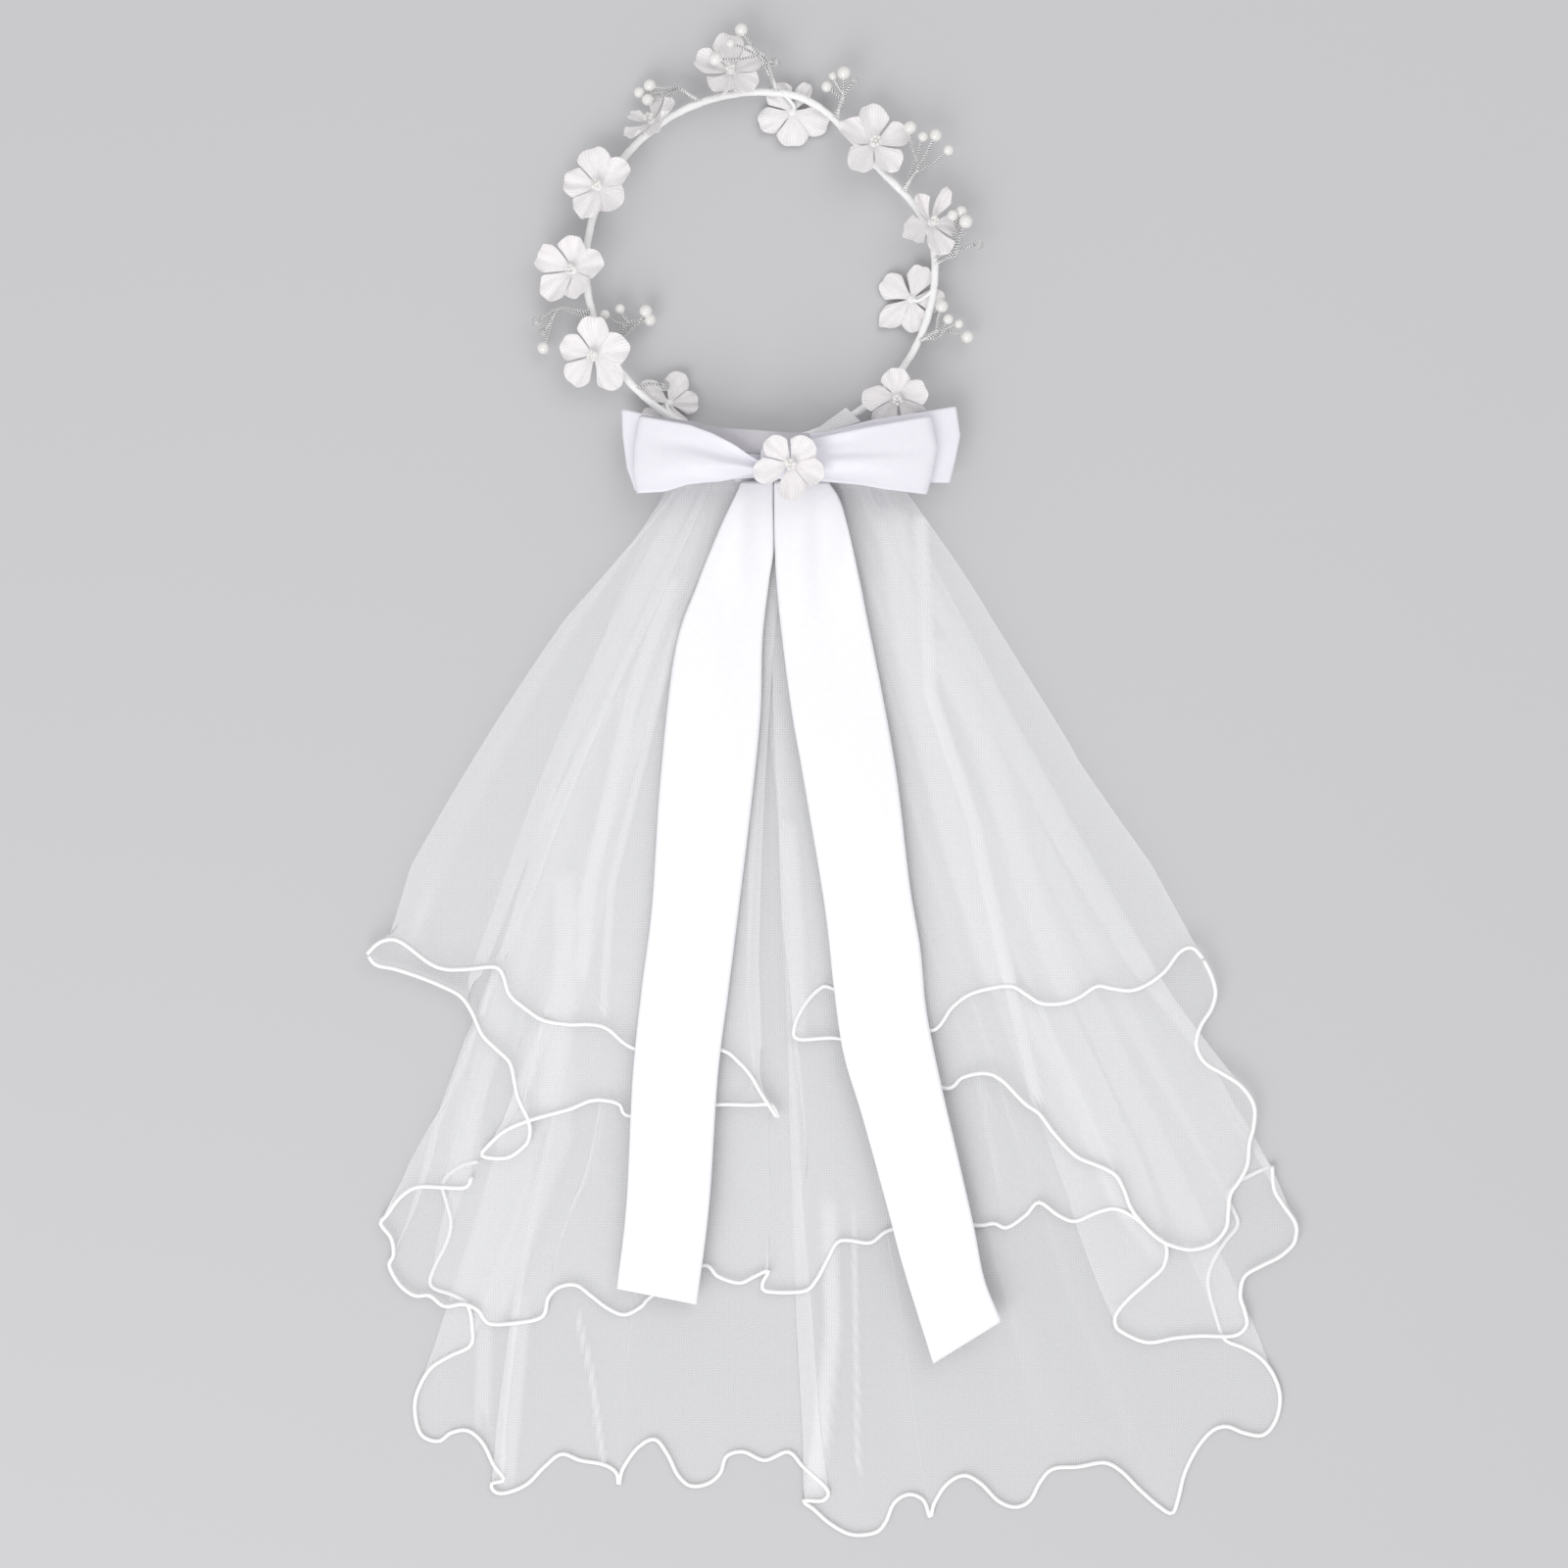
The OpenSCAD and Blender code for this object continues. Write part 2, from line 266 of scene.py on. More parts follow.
# Imitation pearl: glass bead dipped in ivory lacquer, a soft deep gloss.
pearlIvory, tree, shader = newMaterial("pearlIvory", Roughness=0.22, Coat_Weight=0.6, Coat_Roughness=0.08,
                                       IOR=1.53, Sheen_Weight=0.2)
coords = addNode(tree, "ShaderNodeTexCoord")
cloud = addNode(tree, "ShaderNodeTexNoise", {"Vector": coords.outputs["Object"], "Scale": 240.0})
tint = addNode(tree, "ShaderNodeMix", {0: cloud.outputs[0], 6: toLinear("#f2f1ef"), 7: toLinear("#e4e2df")},
               data_type="RGBA")
tree.links.new(tint.outputs[2], shader.inputs["Base Color"])

# Clear acrylic drop: moulded and polished, bends the light like water.
clearAcrylic, tree, shader = newMaterial("clearAcrylic", Transmission_Weight=0.75, IOR=1.49)
shader.inputs["Base Color"].default_value = toLinear("#f2f2f2")
coords = addNode(tree, "ShaderNodeTexCoord")
haze = addNode(tree, "ShaderNodeTexNoise", {"Vector": coords.outputs["Object"], "Scale": 500.0})
rough = addNode(tree, "ShaderNodeMapRange", {0: haze.outputs[0], 3: 0.03, 4: 0.14})
tree.links.new(rough.outputs[0], shader.inputs["Roughness"])

# Silver-plated craft wire, drawn and twisted: bright with fine drawing lines.
silverWire, tree, shader = newMaterial("silverWire", Metallic=1.0)
shader.inputs["Base Color"].default_value = toLinear("#f6f6f6")
coords = addNode(tree, "ShaderNodeTexCoord")
drawn = addNode(tree, "ShaderNodeTexNoise", {"Vector": coords.outputs["Object"], "Scale": 900.0})
rough = addNode(tree, "ShaderNodeMapRange", {0: drawn.outputs[0], 3: 0.3, 4: 0.5})
tree.links.new(rough.outputs[0], shader.inputs["Roughness"])

# Floral tape: waxed crepe paper stretched round the wire, white with a waxy gloss.
floralTape, tree, shader = newMaterial("floralTape", Roughness=0.32, Coat_Weight=0.25, Coat_Roughness=0.2,
                                       IOR=1.45)
coords = addNode(tree, "ShaderNodeTexCoord")
crepe = addNode(tree, "ShaderNodeTexNoise", {"Vector": coords.outputs["Object"], "Scale": 900.0,
                                             "Detail": 3.0})
tint = addNode(tree, "ShaderNodeMix", {0: crepe.outputs[0], 6: toLinear("#fbfbfb"), 7: toLinear("#f0f0f0")},
               data_type="RGBA")
tree.links.new(tint.outputs[2], shader.inputs["Base Color"])
bump = addNode(tree, "ShaderNodeBump", {"Height": crepe.outputs[0], "Strength": 0.25, "Distance": 0.0002})
tree.links.new(bump.outputs[0], shader.inputs["Normal"])

# Table top: matt pale laminate.
paleTable, tree, shader = newMaterial("paleTable", Roughness=0.85)
shader.inputs["Base Color"].default_value = toLinear("#c6c6c8")
print("materials ready")


def twistedWireTree():
    # two round strands twisted round each other along every curve
    tree = bpy.data.node_groups.new("twistedWire", "GeometryNodeTree")
    face = tree.interface
    face.new_socket(name="Curves", in_out="INPUT", socket_type="NodeSocketGeometry")
    radius = face.new_socket(name="Strand Radius", in_out="INPUT", socket_type="NodeSocketFloat")
    pitch = face.new_socket(name="Twist Pitch", in_out="INPUT", socket_type="NodeSocketFloat")
    finish = face.new_socket(name="Finish", in_out="INPUT", socket_type="NodeSocketMaterial")
    face.new_socket(name="Wire", in_out="OUTPUT", socket_type="NodeSocketGeometry")
    start = addNode(tree, "NodeGroupInput")
    even = addNode(tree, "GeometryNodeResampleCurve", {"Curve": start.outputs[0], "Length": 0.0004},
                   mode="LENGTH")
    along = addNode(tree, "GeometryNodeSplineParameter")
    turns = addNode(tree, "ShaderNodeMath", {0: along.outputs["Length"], 1: start.outputs[2]},
                    operation="DIVIDE")
    angle = addNode(tree, "ShaderNodeMath", {0: turns.outputs[0], 1: 2 * math.pi}, operation="MULTIPLY")
    tilted = addNode(tree, "GeometryNodeSetCurveTilt", {"Curve": even.outputs[0], "Tilt": angle.outputs[0]})
    strand = addNode(tree, "GeometryNodeCurvePrimitiveCircle", {"Resolution": 6, "Radius": start.outputs[1]})
    sides = []
    for way in (1, -1):
        shift = addNode(tree, "ShaderNodeMath", {0: start.outputs[1], 1: float(way)}, operation="MULTIPLY")
        place = addNode(tree, "ShaderNodeCombineXYZ", {0: shift.outputs[0]})
        moved = addNode(tree, "GeometryNodeTransform", {"Geometry": strand.outputs[0],
                                                        "Translation": place.outputs[0]})
        sides.append(moved.outputs[0])
    profile = addNode(tree, "GeometryNodeJoinGeometry")
    for side in sides:
        tree.links.new(side, profile.inputs[0])
    swept = addNode(tree, "GeometryNodeCurveToMesh", {"Curve": tilted.outputs[0],
                                                      "Profile Curve": profile.outputs[0],
                                                      "Fill Caps": True})
    smooth = addNode(tree, "GeometryNodeSetShadeSmooth", {"Geometry": swept.outputs[0]})
    real = addNode(tree, "GeometryNodeRealizeInstances", {"Geometry": smooth.outputs[0]})
    coated = addNode(tree, "GeometryNodeSetMaterial", {"Geometry": real.outputs[0],
                                                       "Material": start.outputs[3]})
    addNode(tree, "NodeGroupOutput", {0: coated.outputs[0]})
    return tree, radius.identifier, pitch.identifier, finish.identifier


def beadTree():
    # one round bead at every point, as large as the point's "beadSize" says
    tree = bpy.data.node_groups.new("beadsOnPoints", "GeometryNodeTree")
    face = tree.interface
    face.new_socket(name="Points", in_out="INPUT", socket_type="NodeSocketGeometry")
    facets = face.new_socket(name="Facets Round", in_out="INPUT", socket_type="NodeSocketInt")
    finish = face.new_socket(name="Finish", in_out="INPUT", socket_type="NodeSocketMaterial")
    face.new_socket(name="Beads", in_out="OUTPUT", socket_type="NodeSocketGeometry")
    start = addNode(tree, "NodeGroupInput")
    dots = addNode(tree, "GeometryNodeMeshToPoints", {"Mesh": start.outputs[0]})
    rings = addNode(tree, "ShaderNodeMath", {0: start.outputs[1], 1: 0.6}, operation="MULTIPLY")
    ball = addNode(tree, "GeometryNodeMeshUVSphere", {"Segments": start.outputs[1],
                                                      "Rings": rings.outputs[0], "Radius": 1.0})
    size = addNode(tree, "GeometryNodeInputNamedAttribute", {"Name": "beadSize"}, data_type="FLOAT")
    placed = addNode(tree, "GeometryNodeInstanceOnPoints", {"Points": dots.outputs[0],
                                                            "Instance": ball.outputs[0],
                                                            "Scale": size.outputs[0]})
    real = addNode(tree, "GeometryNodeRealizeInstances", {"Geometry": placed.outputs[0]})
    smooth = addNode(tree, "GeometryNodeSetShadeSmooth", {"Geometry": real.outputs[0]})
    coated = addNode(tree, "GeometryNodeSetMaterial", {"Geometry": smooth.outputs[0],
                                                       "Material": start.outputs[2]})
    addNode(tree, "NodeGroupOutput", {0: coated.outputs[0]})
    return tree, facets.identifier, finish.identifier


wireTree, wireRadiusId, wirePitchId, wireFinishId = twistedWireTree()
beadsTree, beadFacetsId, beadFinishId = beadTree()


def twistedWires(name, paths, strandRadius, pitch, material):
    # a mesh of twisted wires, one for each path in millimetres
    curve = bpy.data.curves.new(name, "CURVE")
    curve.dimensions = "3D"
    for path in paths:
        spline = curve.splines.new("POLY")
        spline.points.add(len(path) - 1)
        for point, place in zip(spline.points, path):
            point.co = (*[float(c) * mm for c in place], 1.0)
    holder = bpy.data.objects.new(name, curve)
    scene.collection.objects.link(holder)
    modifier = holder.modifiers.new("wire", "NODES")
    modifier.node_group = wireTree
    modifier[wireRadiusId] = strandRadius * mm
    modifier[wirePitchId] = pitch * mm
    modifier[wireFinishId] = material
    depsgraph = bpy.context.evaluated_depsgraph_get()
    mesh = bpy.data.meshes.new_from_object(holder.evaluated_get(depsgraph))
    bpy.data.objects.remove(holder)
    piece = bpy.data.objects.new(name, mesh)
    scene.collection.objects.link(piece)
    return piece


def beads(name, spots, facets, material):
    # a mesh of beads; each spot is x, y, z and radius in millimetres
    mesh = bpy.data.meshes.new(name)
    mesh.from_pydata([tuple(float(c) * mm for c in s[:3]) for s in spots], [], [])
    size = mesh.attributes.new("beadSize", "FLOAT", "POINT")
    size.data.foreach_set("value", [float(s[3]) * mm for s in spots])
    piece = bpy.data.objects.new(name, mesh)
    scene.collection.objects.link(piece)
    modifier = piece.modifiers.new("beads", "NODES")
    modifier.node_group = beadsTree
    modifier[beadFacetsId] = facets
    modifier[beadFinishId] = material
    bakeModifier(piece)
    return piece


ring = {"radius": 82.0, "z": 9.0, "tape": 1.9, "flatFrom": 4, "flatTo": 82, "flatDepth": 10.0,
        "wrapPitch": 9.0, "wrapStep": 0.22}


def ringPoint(angle):
    # angle in degrees; the ring is a little flattened at its upper right
    angle = angle % 360
    u = (angle - ring["flatFrom"]) / (ring["flatTo"] - ring["flatFrom"])
    r = ring["radius"] - (ring["flatDepth"] * math.sin(math.pi * u) ** 2 if 0 < u < 1 else 0)
    return np.array([r * math.cos(math.radians(angle)), r * math.sin(math.radians(angle)), ring["z"]])


def wrappedTape():
    # a tube whose surface steps where one turn of the tape laps over the last
    rounds, sides = 900, 20
    points, uvs = [], []
    for i in range(rounds):
        angle = 360 * i / rounds
        centre = ringPoint(angle)
        out = np.array([math.cos(math.radians(angle)), math.sin(math.radians(angle)), 0])
        run = 2 * math.pi * ring["radius"] * i / rounds
        turns = round(2 * math.pi * ring["radius"] / ring["wrapPitch"])
        for j in range(sides):
            phase = (turns * i / rounds + j / sides) % 1
            lump = 0.12 * math.sin(angle * 0.35) * math.sin(angle * 0.11 + 1)
            r = ring["tape"] - ring["wrapStep"] * phase ** 0.6 + lump
            a = 2 * math.pi * j / sides
            points.append(centre + r * (math.cos(a) * out + math.sin(a) * np.array([0, 0, 1.0])))
            uvs.append((run * mm, j / sides))
    faces = gridFaces(rounds, sides, closed=True)
    faces += [((rounds - 1) * sides + j, (rounds - 1) * sides + (j + 1) % sides, (j + 1) % sides, j)
              for j in range(sides)]
    return newPiece("tapedRing", points, [tuple(reversed(f)) for f in faces], floralTape, uvs)


tapedRing = wrappedTape()
settle(tapedRing, "crown", "white_tape", "ring_tape")
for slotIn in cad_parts["ring_wire"].material_slots:
    slotIn.material = silverWire
print("ring made")


# x, y, z, way it leans, lean, size, spin, cup
blossoms = {
    "flower_01": (-14, 91, 12.5, 98, 22, 1.0, 25, 0.42),
    "flower_02": (15, 73, 6.5, 95, 174, 1.05, 0, 0.18),
    "flower_03": (53, 57, 13.5, 45, 20, 1.08, 20, 0.36),
    "flower_04": (80, 20, 13, 14, 25, 1.02, 62, 0.42),
    "flower_05": (71, -15, 6.5, 350, 174, 0.98, 30, 0.18),
    "flower_06": (64, -62, 13, 270, 25, 0.95, 22, 0.40),
    "flower_07": (-43, -64, 6.5, 120, 174, 0.92, 10, 0.18),
    "flower_08": (-78, -42, 13, 208, 15, 1.08, 18, 0.34),
    "flower_09": (-88, -2, 12.5, 181, 25, 1.0, 5, 0.42),
    "flower_10": (-76, 37, 13, 154, 15, 1.08, 30, 0.34),
    "flower_11": (-51, 67, 15, 127, 48, 0.9, 10, 0.45),
    "bow_flower": (14, -94, 27.6, 250, 12, 0.98, 54, 0.42),
}
petal = {"length": 16.4, "width": 14.2, "rows": 13, "columns": 13, "thickness": 0.2,
         "foot": 1.2, "footShare": 0.16, "roundEnd": 0.46, "slim": 0.55, "crinkle": 0.22, "groove": 0.7}
stamens = {"count": 7, "thread": 0.22, "sides": 6, "rings": 14}
boundWire = {"radius": 0.85, "sides": 8, "footTurn": 9}


# petals that are pinched narrow
narrowPetals = {"flower_04": (0, 1), "flower_11": (1, 2), "flower_02": (3,)}


def petalPoints(rng, size, cup, slim):
    # one petal lying along +X: narrow foot, broad round end, cupped, with a softly waved rim
    length = petal["length"] * size * rng.uniform(0.86, 1.08)
    width = petal["width"] * size * rng.uniform(0.86, 1.12) * slim
    point = rng.choice([0.0, 0.0, 0.12])
    curl = rng.uniform(-0.4, 2.0)
    wave = rng.uniform(0.9, 1.7) * size
    phase = rng.uniform(0, 6.28)
    waves = rng.choice([1.5, 2.0, 2.5])
    notch = rng.uniform(0.0, 0.09)
    twist = rng.uniform(-0.12, 0.12)
    points, uvs = [], []
    for s in np.linspace(0, 1, petal["rows"]):
        for t in np.sin(np.linspace(-0.5, 0.5, petal["columns"]) * math.pi):
            spread = petal["footShare"] + (1 - petal["footShare"]) * math.sin(0.5 * math.pi * s ** 1.15)
            half = 0.5 * width * spread * (1 - 0.1 * s ** 6)
            endRound = petal["roundEnd"] * s * (1 - math.sqrt(1 - 0.97 * t * t))
            reach = length * s * (1 - endRound - notch * s * math.exp(-(t * 3) ** 2))
            reach += point * length * s ** 4 * max(0.0, 1 - 2.5 * abs(t))
            rise = cup * length * s ** 1.4 * (0.7 + 0.3 * t * t) - curl * s ** 5
            rise += wave * math.sin(waves * math.pi * t + phase) * s ** 2
            rise += petal["crinkle"] * math.sin(9 * math.pi * t) * s * (1 - 0.5 * s) + twist * half * t
            rise -= petal["groove"] * size * math.exp(-(t * 4) ** 2) * math.sin(math.pi * min(1, s * 1.1))
            points.append((petal["foot"] + reach, half * t, rise))
            uvs.append((0.5 + 0.5 * t, s))
    return points, uvs


def leanAxes(way, lean):
    # columns: local x, y, z of a blossom that leans towards `way`
    w, a = math.radians(way), math.radians(lean)
    z = np.array([math.sin(a) * math.cos(w), math.sin(a) * math.sin(w), math.cos(a)])
    x = np.array([math.cos(a) * math.cos(w), math.cos(a) * math.sin(w), -math.sin(a)])
    return np.stack([x, np.cross(z, x), z], axis=1)


def turn(points, degrees):
    c, s = math.cos(math.radians(degrees)), math.sin(math.radians(degrees))
    return [(p[0] * c - p[1] * s, p[0] * s + p[1] * c, p[2]) for p in points]


def makeBlossom(name, spec, number):
    x, y, z, way, lean, size, spin, cup = spec
    rng = random.Random(100 + number)
    axes3 = leanAxes(way, lean)
    centre = np.array([x, y, z], float)
    spin -= way if lean < 90 else 0
    points, faces, uvs = [], [], []
    for k in range(5):
        petalCup = cup * rng.uniform(0.7, 1.3)
        slim = petal["slim"] if k in narrowPetals.get(name, ()) else 1.0
        local, localUv = petalPoints(rng, size, petalCup, slim)
        local = turn(local, 72 * k + spin + rng.uniform(-7, 7))
        layer = 0.25 * (k % 2)
        start = len(points)
        points += [centre + axes3 @ (np.array(p) + [0, 0, layer]) for p in local]
        uvs += localUv
        faces += [tuple(start + i for i in f) for f in gridFaces(petal["rows"], petal["columns"])]
    piece = newPiece(name + "Petals", points, [tuple(reversed(f)) for f in faces], petalOrganza, uvs)
    addThickness(piece, petal["thickness"])
    soft = piece.modifiers.new("soft", "SUBSURF")
    soft.levels = soft.render_levels = 1
    bakeModifier(piece)

    hub = [centre + axes3 @ np.array([0, 0, h]) for h in (-1.2, -0.4, 0.6, 1.2)]
    calyx = tubeMesh(hub, [0.9, 1.8, 2.2, 1.3], 12)
    filaments, heads = [calyx], []
    last = stamens["count"] - 1
    for k in range(stamens["count"]):
        a = 2 * math.pi * (k / last + rng.uniform(-0.05, 0.05))
        r = 0 if k == last else rng.uniform(1.3, 2.0)
        top = np.array([r * math.cos(a), r * math.sin(a), rng.uniform(3.0, 4.4) * size])
        middle = top * [0.5, 0.5, 0.55]
        route = smoothPath([[0, 0, 0.8], middle, top], 8)
        filaments.append(tubeMesh([centre + axes3 @ p for p in route], stamens["thread"], stamens["sides"]))
        heads.append([*(centre + axes3 @ top), rng.uniform(0.85, 1.2)])
    core = joinTubes(name + "Calyx", filaments, floralTape)
    tips = beads(name + "Stamens", heads, stamens["rings"], pearlIvory)
    return piece, core, tips


for number, (name, spec) in enumerate(blossoms.items()):
    body = "bow_and_veil" if name == "bow_flower" else "crown"
    petalsPiece, core, tips = makeBlossom(name, spec, number)
    settle(petalsPiece, body, "petal_fabric", name + "_petals")
    settle(core, body, "white_tape")
    settle(tips, body, "stamen_beads", name + "_stamens")

# bound wires from the ring to the back of each blossom
stemTubes = []
for name, (x, y, z, way, lean, size, spin, cup) in blossoms.items():
    if name != "bow_flower":
        angle = math.degrees(math.atan2(y, x))
        foot = ringPoint(angle)
        axes3 = leanAxes(way, lean)
        back = np.array([x, y, z]) - axes3[:, 2] * 1.0
        side = ringPoint(angle + boundWire["footTurn"])
        route = smoothPath([side, foot * 0.5 + side * 0.5 + [0, 0, 1.2], back * 0.6 + foot * 0.4, back], 18)
        stemTubes.append(tubeMesh(route, boundWire["radius"], boundWire["sides"]))
boundStems = joinTubes("boundStems", stemTubes, floralTape)
settle(boundStems, "crown", "white_tape", "flower_stems")
print("blossoms made")


# angle of the foot on the ring, fork, pearls and clear drops as x, y, z, radius
sprays = [
    (84, (2, 95, 19), [(-9, 110, 15, 3.1), (-21, 96, 17.5, 3.2), (-14, 103, 19, 2.2)], [(7, 95, 13, 2.4)]),
    (110, (-38, 84, 13), [(-52, 85, 9, 3), (-53, 78, 11, 2.8), (-57, 82, 8, 2.6)], []),
    (63, (38, 78, 13), [(39, 90, 14, 3.2), (31, 84, 12, 2.6), (34, 89, 10, 2.3)], [(44, 86, 14, 2.2)]),
    (27, (73, 45, 14), [(70, 64, 17, 3), (82, 61, 13, 3), (76, 60, 15, 2.4), (88, 54, 13, 2.5)], []),
    (2, (90, 6, 13), [(96, 20, 17, 3.2), (94, 25, 14, 2.8), (90, 23, 16, 2.6)], [(102, 10, 11, 2.6)]),
    (334, (82, -32, 12), [(85, -19, 12, 3), (88, -25, 11, 2.5), (97, -33, 9, 3), (93, -27, 10, 2.2)], []),
    (196, (-95, -22, 13), [(-102, -38, 8, 3)], [(-105, -26, 11, 2.5), (-102, -31, 9, 2.3)]),
    (209, (-62, -29, 11),
     [(-73, -23, 12, 2.4), (-66, -20, 10, 2.4), (-54, -21, 10, 3.1), (-52, -25, 9, 2.9)], []),
    (224, (-54, -54, 11), [], [(-45, -56, 10.5, 2.6)]),
]
wire = {"strand": 0.46, "pitch": 2.6, "steps": 40}
bead = {"rings": 28}

for number, (angle, fork, pearls, drops) in enumerate(sprays, 1):
    rng = random.Random(500 + number)
    routes = []
    for x, y, z, r in pearls + drops:
        foot = ringPoint(angle + rng.uniform(-1.5, 1.5))
        foot = foot + [0, 0, 1.0]
        split = np.array(fork, float) + [rng.uniform(-2, 2), rng.uniform(-2, 2), rng.uniform(-1, 1)]
        end = np.array([x, y, z], float)
        bow = (split + end) / 2 + [rng.uniform(-1, 1), rng.uniform(-1, 1), 0.8]
        routes.append(smoothPath([foot, (foot + split) / 2 + [0, 0, 0.6], split, bow, end], wire["steps"]))
    name = f"spray_{number}"
    wires = twistedWires(name + "Wires", routes, wire["strand"], wire["pitch"], silverWire)
    settle(wires, "crown", "silver_wire", name + "_stems")
    if pearls:
        balls = beads(name + "Pearls", pearls, bead["rings"], pearlIvory)
        settle(balls, "crown", "pearl", name + "_pearls")
    if drops:
        clear = beads(name + "Drops", drops, bead["rings"], clearAcrylic)
        settle(clear, "crown", "pearl", *([] if pearls else [name + "_pearls"]))
print("sprays made")


loopShape = {"stations": 60, "across": 29, "foldAt": 0.47, "foldSpan": 0.06, "tipReach": 1.6,
             "underPleat": 0.3, "thickness": 0.35, "ribbon": 38}


def edgeY(line, at):
    # y of one edge of a loop, at one place along it
    line = sorted(line)
    return np.interp(at, [p[0] for p in line], [p[1] for p in line])


def bowLoop(name, spec):
    # a ribbon that leaves the knot, folds back at its outer end and returns underneath
    stations, across, foldAt = loopShape["stations"], loopShape["across"], loopShape["foldAt"]
    points, uvs = [], []
    knotX, zLow, height = spec["knotX"], spec["z"], spec["height"]
    way = 1 if spec["outer"][0][0] > knotX else -1
    outerY = np.array([p[1] for p in spec["outer"]])[::-1]
    outerX = np.array([p[0] for p in spec["outer"]])[::-1]
    reach = abs(outerX.mean() - knotX)
    for i in range(stations):
        u = i / (stations - 1)
        upper = u < 0.5
        s = min(1.0, (u if upper else 1 - u) / foldAt)
        turnBack = max(0.0, 1 - abs(u - 0.5) / (0.5 * loopShape["foldSpan"]))
        top, bottom = ("top", "bottom") if upper else ("topUnder", "bottomUnder")
        fold = (1 - s) ** 0.9
        for j in range(across):
            v = j / (across - 1)
            xGuess = knotX + way * reach * s
            yTop, yBottom = edgeY(spec[top], xGuess), edgeY(spec[bottom], xGuess)
            y = yTop + (yBottom - yTop) * v
            end = np.interp(y, outerY, outerX)
            x = knotX + (end - knotX) * s + way * loopShape["tipReach"] * math.sin(0.5 * math.pi * turnBack)
            swell = math.sin(math.pi * min(1, 0.12 + 0.7 * s)) ** 0.8
            z = zLow + (height * swell if upper else 0.0)
            if s >= 1:
                tip = height * math.sin(math.pi * 0.82) ** 0.8
                z = zLow + tip * (1 - (u - foldAt) / loopShape["foldSpan"])
            if upper:
                z += spec["crown"] * math.sin(math.pi * v) * math.sin(math.pi * min(1.0, s))
            pleat = spec["pleat"] * fold * math.cos(2 * math.pi * spec["folds"] * v + 0.6)
            z += pleat * (1 if upper else loopShape["underPleat"])
            for a, b, depth, breadth in spec.get("creases", []):
                line = a + (b - a) * s
                if upper:
                    z -= depth * math.exp(-((v - line) / breadth) ** 2) * (1 - s) ** 0.6
            points.append((x, y, z))
            uvs.append((u * 2 * reach * mm, v * loopShape["ribbon"] * mm))
    # the loops use the bow satin, whose darker colour is painted shade
    piece = newPiece(name, points, gridFaces(stations, across), satinBowPaintedShade, uvs)
    addThickness(piece, loopShape["thickness"])
    return piece


bowLoops = {
    "bow_left_front_loop": {
        "knotX": 4, "z": 17.5, "height": 8.4, "pleat": 1.7, "folds": 1.5, "crown": 1.2,
        "top": [(0, -93), (-5, -90), (-12, -85), (-22, -80), (-33, -76), (-57, -71.5)],
        "bottom": [(4, -98), (-5, -99), (-17, -102), (-33, -103.5), (-45, -107), (-57, -107.5)],
        "topUnder": [(4, -79), (-20, -77), (-35, -73), (-57, -71.5)],
        "bottomUnder": [(4, -99), (-17, -101), (-33, -103), (-57, -107)],
        "outer": [(-55, -71.5), (-57.5, -85), (-58, -97), (-56, -108)],
        "creases": [(0.5, 0.25, 1.6, 0.12)]},
    "bow_right_front_loop": {
        "knotX": 10, "z": 17.5, "height": 8.4, "pleat": 1.8, "folds": 1.7, "crown": 1.0,
        "top": [(10, -88), (17, -84), (35, -80), (50, -77), (79, -71.5)],
        "bottom": [(10, -99), (22, -101), (45, -103.5), (60, -106), (79, -108)],
        "topUnder": [(10, -80.5), (23, -79.5), (50, -75.5), (79, -71)],
        "bottomUnder": [(10, -99), (22, -101), (45, -103), (79, -107)],
        "outer": [(78, -71.5), (81, -86), (79, -97), (76, -108.5)],
        "creases": [(0.45, 0.42, 2.2, 0.1)]},
    "bow_left_back_loop": {
        "knotX": 4, "z": 14.0, "height": 2.6, "pleat": 0.5, "folds": 2.0, "crown": 0.0,
        "top": [(4, -80), (-20, -77.5), (-40, -73), (-64, -67)],
        "bottom": [(4, -99), (-30, -101), (-57, -105), (-64, -106)],
        "topUnder": [(4, -80), (-20, -77.5), (-40, -73), (-64, -67)],
        "bottomUnder": [(4, -99), (-30, -101), (-57, -105), (-64, -106)],
        "outer": [(-63.5, -66.5), (-63, -80), (-61, -95), (-57, -106)]},
    "bow_right_back_loop": {
        "knotX": 10, "z": 14.0, "height": 2.6, "pleat": 0.5, "folds": 2.0, "crown": 0.0,
        "top": [(10, -82), (22, -80.5), (50, -73), (75, -69), (92, -66)],
        "bottom": [(10, -99), (50, -101), (87, -102), (92, -102)],
        "topUnder": [(10, -82), (22, -80.5), (50, -73), (75, -69), (92, -66)],
        "bottomUnder": [(10, -99), (50, -101), (87, -102), (92, -102)],
        "outer": [(90, -66), (92, -80), (90, -90), (87, -102.5)]},
}
for name, spec in bowLoops.items():
    piece = bowLoop("bow" + "".join(word.title() for word in name.split("_")[1:]), spec)
    settle(piece, "bow_and_veil", "satin_ribbon", name)
